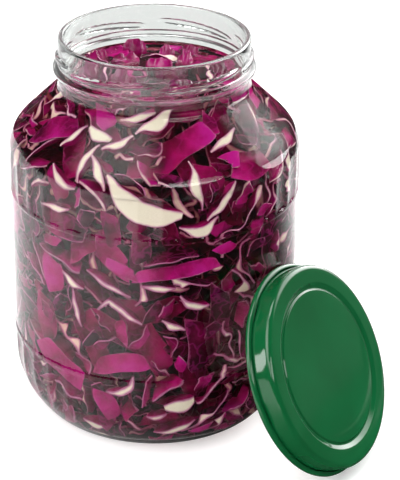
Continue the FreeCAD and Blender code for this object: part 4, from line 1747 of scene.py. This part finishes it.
@dataclass
class SurfacePieces:
    """The pieces that stand out of the brine, crinkled, each where its solid is."""

    random: np.random.RandomState
    level: float
    mouth: float
    leaf_thickness: float = 1.2
    rib_thickness: float = 2.8
    clearance: float = 4.0
    crumple: float = 0.55
    thin_edge: float = 0.55
    rib_flesh: float = 0.3
    sections: int = 21

    WAVES = 6
    SLOW, FAST, FAST_SHARE = 9.0, 17.0, 0.6
    ROUNDNESS, EDGE_LEAST, EDGE_ROUND = 2.6, 0.34, 0.66
    EDGE_RATES, FINER = (8.0, 10.0), 2.3
    RAGGED, FINELY_RAGGED = 0.13, 0.1
    RIB_TAPER, LEAF_TAPER = 0.5, 0.35
    TONES = (0.3, 0.8)

    def build_one(self, shred: StandingShred, finishes: Sequence[Finish]) -> Object:
        """Model one piece in place of its solid.

        Args:
            shred: Its sizes and place.
            finishes: The finish of its faces, and of its cut edges and nearly all of a rib.

        Returns:
            The piece.
        """
        rib = shred.is_rib()
        thickness = self.rib_thickness if rib else self.leaf_thickness
        lean, around = math.radians(shred.lean), math.radians(shred.around)
        out = shred.share * (self.mouth - self.clearance)
        middle = Vector((out * math.cos(around), out * math.sin(around),
                         self.level + shred.rise - shred.length / 2 * math.cos(lean)))
        turn = (Matrix.Translation(middle * MM)
                @ Matrix.Rotation(math.radians(shred.heading), 4, "Z")
                @ Matrix.Rotation(-lean, 4, "Y"))
        share = np.linspace(-0.5, 0.5, self.sections)
        angle = share * shred.width / shred.bend
        waves = [self.random.uniform(0, FULL_TURN) for _ in range(self.WAVES)]
        ripple = self.crumple * (np.sin(share * self.SLOW + waves[0])
                                 + self.FAST_SHARE * np.sin(share * self.FAST + waves[1]))
        round_off = (1 - (np.abs(share) * 2) ** self.ROUNDNESS) ** 0.5
        edges = [self.EDGE_LEAST + self.EDGE_ROUND * round_off
                 * (1 + self.RAGGED * np.sin(share * rate + wave)
                    + self.FINELY_RAGGED * np.sin(share * rate * self.FINER + wave * 2))
                 for rate, wave in zip(self.EDGE_RATES, waves[2:])]
        swell = (1 - self.RIB_TAPER * (share * 2) ** 2 if rib
                 else 1 - self.LEAF_TAPER * (share * 2) ** 4)
        rings = []
        for w, t in zip(RING_ACROSS, RING_THROUGH):
            thin = self.thin_edge if w and not rib else 1.0
            radius = (shred.bend - thickness / 2 + t * thickness / 2 * swell * thin
                      + ripple * (w + 0.4))
            reach = shred.length / 2 * np.minimum(edges[0] if w > 0 else edges[1], 1.0)
            rings.append(np.stack([radius * np.cos(angle) - shred.bend, radius * np.sin(angle),
                                   w * reach], axis=1))
        points = np.stack(rings, axis=1).reshape(-1, 3)
        flesh = flesh_depth(thickness / 2, self.sections) + (self.rib_flesh if rib else 0.0)
        tone = np.full(len(points), self.random.uniform(*self.TONES))
        return join_shreds(f"standing_{shred.node}", [(points, flesh, tone)], self.sections,
                           finishes, "rib" if rib else "leaf", shred.node,
                           RIB_SIDES if rib else LEAF_SIDES, turn)

    def build(self, finishes: Sequence[Finish]) -> None:
        """Model every piece that stands out."""
        for shred in STANDING_SHREDS:
            self.build_one(shred, finishes)


# ---------------------------------------------------------------- the studio

class LampShape(Enum):
    """The outline of a lamp's face."""

    BOX = "RECTANGLE"
    OVAL = "ELLIPSE"

    def share(self) -> float:
        """How much of its width times its height the face fills."""
        return math.pi / 4 if self is LampShape.OVAL else 1.0


@dataclass(frozen=True)
class Softbox:
    """A lamp that faces the object.

    Attributes:
        name: Its name.
        towards: Direction from the object to the lamp.
        distance: Metres from the object.
        size: Width and height in metres.
        glow: Brightness of its face, where 1 is white.
        shape: Its outline.
        gloss_only: Whether it is too dim to light more than gloss.
    """

    name: str
    towards: Triple
    distance: float
    size: Pair
    glow: float
    shape: LampShape = LampShape.BOX
    gloss_only: bool = False

    def hang(self, aim: Vector) -> Object:
        """Hang it facing a point; it shows in gloss but not to the camera."""
        data = bpy.data.lights.new(self.name, "AREA")
        data.shape, (data.size, data.size_y) = self.shape.value, self.size
        data.energy = self.glow * math.pi * self.size[0] * self.size[1] * self.shape.share()
        lamp = bpy.data.objects.new(self.name, data)
        bpy.context.collection.objects.link(lamp)
        towards = Vector(self.towards).normalized()
        lamp.location = aim + towards * self.distance
        lamp.rotation_euler = towards.to_track_quat("Z", "Y").to_euler()
        lamp.visible_camera = False
        lamp.visible_diffuse = not self.gloss_only
        return lamp


@dataclass(frozen=True)
class Silk:
    """A large lamp behind silk, whose light fades towards its edges.

    Attributes:
        towards: Direction from the object to its middle.
        core: Angle in degrees from its middle to where it starts to fade.
        edge: Angle in degrees to where it has faded out.
        glow: Brightness of its middle, where 1 is white.
    """

    towards: Triple
    core: float
    edge: float
    glow: float

    def light(self, nodes: Nodes, way: NodeSocket) -> NodeSocket:
        """How bright it is in each direction."""
        near = nodes.along(way, Vector(self.towards).normalized())
        return nodes.ease(near, math.cos(math.radians(self.edge)),
                          math.cos(math.radians(self.core)), 0.0, self.glow)


@dataclass
class Studio:
    """A white table and plain soft light, with the camera above and to one side."""

    lens: float = 134.0
    sensor: float = 36.0
    distance: float = 0.743
    azimuth: float = -60.0
    elevation: float = 25.8
    aim_height: float = 0.0798
    shift: Pair = (0.095, -0.0345)
    clip: Pair = (0.01, 20.0)
    room: float = 0.04
    room_edge: Pair = (-0.85, -0.4)
    above_table: float = 0.16
    fill: float = 0.5
    table_radius: float = 6.0
    silks: tuple[Silk, ...] = (
        Silk((-0.54, 0.2, 0.82), 4.0, 34.0, 5.0),
        Silk((0.797, -0.29, 0.53), 12.0, 31.0, 5.0),
        Silk((0.951, -0.168, 0.259), 6.0, 27.0, 3.5),
    )
    softboxes: tuple[Softbox, ...] = (
        Softbox("small_lamp", (-0.381, -0.748, 0.545), 1.0, (0.8, 0.26), 4.5,
                LampShape.OVAL, True),
        Softbox("top_light", (0.05, 0.03, 1.0), 1.0, (0.5, 0.3), 6.0, gloss_only=True),
    )
    cap_softboxes: tuple[Softbox, ...] = (
        Softbox("left_window", (-0.72, 0.69, 0.22), 1.0, (0.2, 0.32), 9.0),
        Softbox("right_window", (1.0, -0.09, 0.2), 1.0, (0.16, 0.36), 8.0),
        Softbox("front_window", (-0.8, -0.3, 0.56), 1.1, (0.14, 0.3), 8.0),
        Softbox("panel_silk", (0.78, -0.62, 0.11), 1.2, (0.9, 0.9), 0.14, gloss_only=True),
    )
    glass_softboxes: tuple[Softbox, ...] = (
        Softbox("shoulder_silk", (0.74, -0.58, 0.3), 1.1, (0.8, 0.72), 5.5, LampShape.OVAL,
                True),
    )

    def aim(self) -> Vector:
        """What the camera and the lamps face."""
        return Vector((0, 0, self.aim_height))

    def towards_camera(self) -> Vector:
        """Direction from the object to the camera."""
        turn, up = math.radians(self.azimuth), math.radians(self.elevation)
        return Vector((math.sin(turn) * math.cos(up), -math.cos(turn) * math.cos(up),
                       math.sin(up)))

    def build_camera(self) -> None:
        """Set up the camera."""
        data = bpy.data.cameras.new("camera")
        data.lens, data.sensor_width = self.lens, self.sensor
        data.shift_x, data.shift_y = self.shift
        data.clip_start, data.clip_end = self.clip
        camera = bpy.data.objects.new("camera", data)
        bpy.context.collection.objects.link(camera)
        back = self.towards_camera()
        camera.location = self.aim() + back * self.distance
        camera.rotation_euler = back.to_track_quat("Z", "Y").to_euler()
        bpy.context.scene.camera = camera

    def build_lamps(self, cap_pieces: Sequence[Object], glass_pieces: Sequence[Object]
                    ) -> None:
        """Hang all the softboxes; cap and glass have some of their own, kept off the rest."""
        for box in self.softboxes:
            box.hang(self.aim())
        for name, pieces, boxes in (("lit_by_cap_windows", cap_pieces, self.cap_softboxes),
                                    ("lit_by_silk", glass_pieces, self.glass_softboxes)):
            lit = bpy.data.collections.new(name)
            for piece in pieces:
                lit.objects.link(piece)
            for box in boxes:
                box.hang(self.aim()).light_linking.receiver_collection = lit

    def build_world(self) -> None:
        """A white backdrop all round to the eye, and a dim room with silks in it to gloss."""
        world = bpy.data.worlds.new("studio")
        bpy.context.scene.world = world
        world.use_nodes = True
        nodes = Nodes(world.node_tree)
        way = nodes.add("TexCoord", out="Generated")
        facing = self.towards_camera()
        facing.z = 0.0
        facing.normalize()
        backdrop = nodes.ease(nodes.along(way, facing), *self.room_edge, 1.0, self.room)

        def pick(ray: str, otherwise: NodeSocket | float, chosen: NodeSocket | float
                 ) -> NodeSocket:
            return nodes.add("Mix", {0: nodes.ray(ray), 2: otherwise, 3: chosen},
                             data_type="FLOAT")

        seen = pick("Glossy", self.fill, backdrop)
        seen = pick("Transmission", seen, self.above_table)
        for silk in self.silks:
            seen = nodes.math("ADD", seen, silk.light(nodes, way))
        seen = pick("Camera", seen, 1.0)
        nodes.end("World", Surface=nodes.add("Background", {"Color": linear("#FFFFFF"),
                                                            "Strength": seen}))

    def build_table(self) -> None:
        """The table top, with nothing at its edge in view."""
        bpy.ops.object.select_all(action="DESELECT")
        bpy.ops.mesh.primitive_circle_add(vertices=64, radius=self.table_radius,
                                          fill_type="NGON")
        table = bpy.context.object
        table.name = table.data.name = "table"
        table.data.materials.append(StudioPaper().material())

    def build(self, cap_pieces: Sequence[Object], glass_pieces: Sequence[Object]) -> None:
        """Set up the table, light and camera."""
        self.build_table()
        self.build_lamps(cap_pieces, glass_pieces)
        self.build_world()
        self.build_camera()
        bpy.context.scene.view_settings.view_transform = "Standard"


# ---------------------------------------------------------------- the whole

AT_GLASS = (
    ("front_rib_shreds", "rib", 32, (), FRONT_RIBS),
    ("front_leaf_shreds", "leaf", 32, (), FRONT_FACES + FRONT_EDGES),
    ("rib_shreds", "rib", 20, (
        ShredKind(52, Lie.EDGE, (4, 7), (9, 26), (0.5, 1.0), (1, 2), (1.6, 4.5), 0.5, 0.15,
                  (0.0, 8.0)),
    )),
    ("leaf_shreds", "leaf", 20, (
        ShredKind(110, Lie.FLAT, (6, 11), (10, 28), (0.5, 0.8), (0, 1), (0.4, 1.2), 0.5, 0.4,
                  (0.0, 6.0)),
        ShredKind(180, Lie.LEANING, (5, 10), (10, 28), (0.6, 1.1), (0, 2), (0.6, 2.4), 0.8,
                  0.7, (0.0, 10.0)),
        ShredKind(220, Lie.EDGE, (4, 9), (8, 24), (0.7, 1.4), (0, 2), (0.6, 2.2), 1.0, 0.8,
                  (0.0, 12.0)),
    )),
    ("small_leaf_shreds", "leaf", 12, (
        ShredKind(300, Lie.LEANING, (3, 6), (6, 15), (0.5, 0.9), (0, 1), (0.5, 1.4), 0.7, 0.5,
                  (0.0, 6.0)),
        ShredKind(200, Lie.FLAT, (4, 7), (6, 14), (0.5, 0.7), (0, 1), (0.4, 1.0), 0.5, 0.4,
                  (0.0, 6.0)),
    )),
    ("deep_leaf_shreds", "leaf", 14, (
        ShredKind(420, Lie.ANY, (7, 13), (12, 30), (0.5, 0.8), (0, 2), (0.5, 2.5), 0.6, 0.5,
                  (1.0, 22.0)),
    )),
)
AT_SURFACE = (
    ShredKind(16, Lie.EDGE, (5, 8), (10, 20), (0.5, 1.0), (1, 2), (1.5, 3.5), 0.5, 0.2,
              (0.0, 8.0)),
    ShredKind(120, Lie.FLAT, (6, 11), (9, 24), (0.5, 0.8), (0, 1), (0.4, 1.4), 0.7, 0.6,
              (0.0, 14.0)),
    ShredKind(60, Lie.LEANING, (6, 10), (9, 20), (0.5, 0.8), (0, 2), (0.6, 1.6), 0.7, 0.6,
              (0.0, 14.0)),
)
UNDER_SURFACE = 0.4


def main() -> None:
    """Build every piece in order."""
    logging.basicConfig(level=logging.INFO, format="%(name)s: %(message)s")
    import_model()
    _, jar_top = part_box("jar")
    jar = Jar(height=jar_top[2] / MM, band_radius=jar_top[0] / MM)
    brine = Brine(jar)
    level, mouth = brine.level(), jar.mouth()
    jar_glass = jar.build(BlownGlass(), WettedWall(), level)
    brine.build(PurpleBrine(), BrineWall())
    wall = InnerWall(rounded([Corner(mouth, level), *jar.inside(jar.wall, jar.neck_wall)]))
    cabbage = ShreddedCabbage(Room(jar.band_radius, level), (LeafSkin(), CutFlesh()))
    SurfacePieces(cabbage.random, level, mouth).build((WetLeafSkin(), WetCutFlesh()))
    for name, *shreds in AT_GLASS:
        cabbage.fill(name, WallBed(wall, level - UNDER_SURFACE), *shreds)
    cabbage.fill("surface_shreds", TopBed(level, mouth), "leaf", 14, AT_SURFACE)
    # The packed middle is coloured with painted shade.
    PackedMiddle(wall).build(PackedShade())
    cap = Cap(jar)
    cap_pieces = [cap.build(StovedEnamel(), SealCompound()), cap.build_seal(SealCompound())]
    Studio().build(cap_pieces, [jar_glass])


if __name__ == "__main__":
    main()
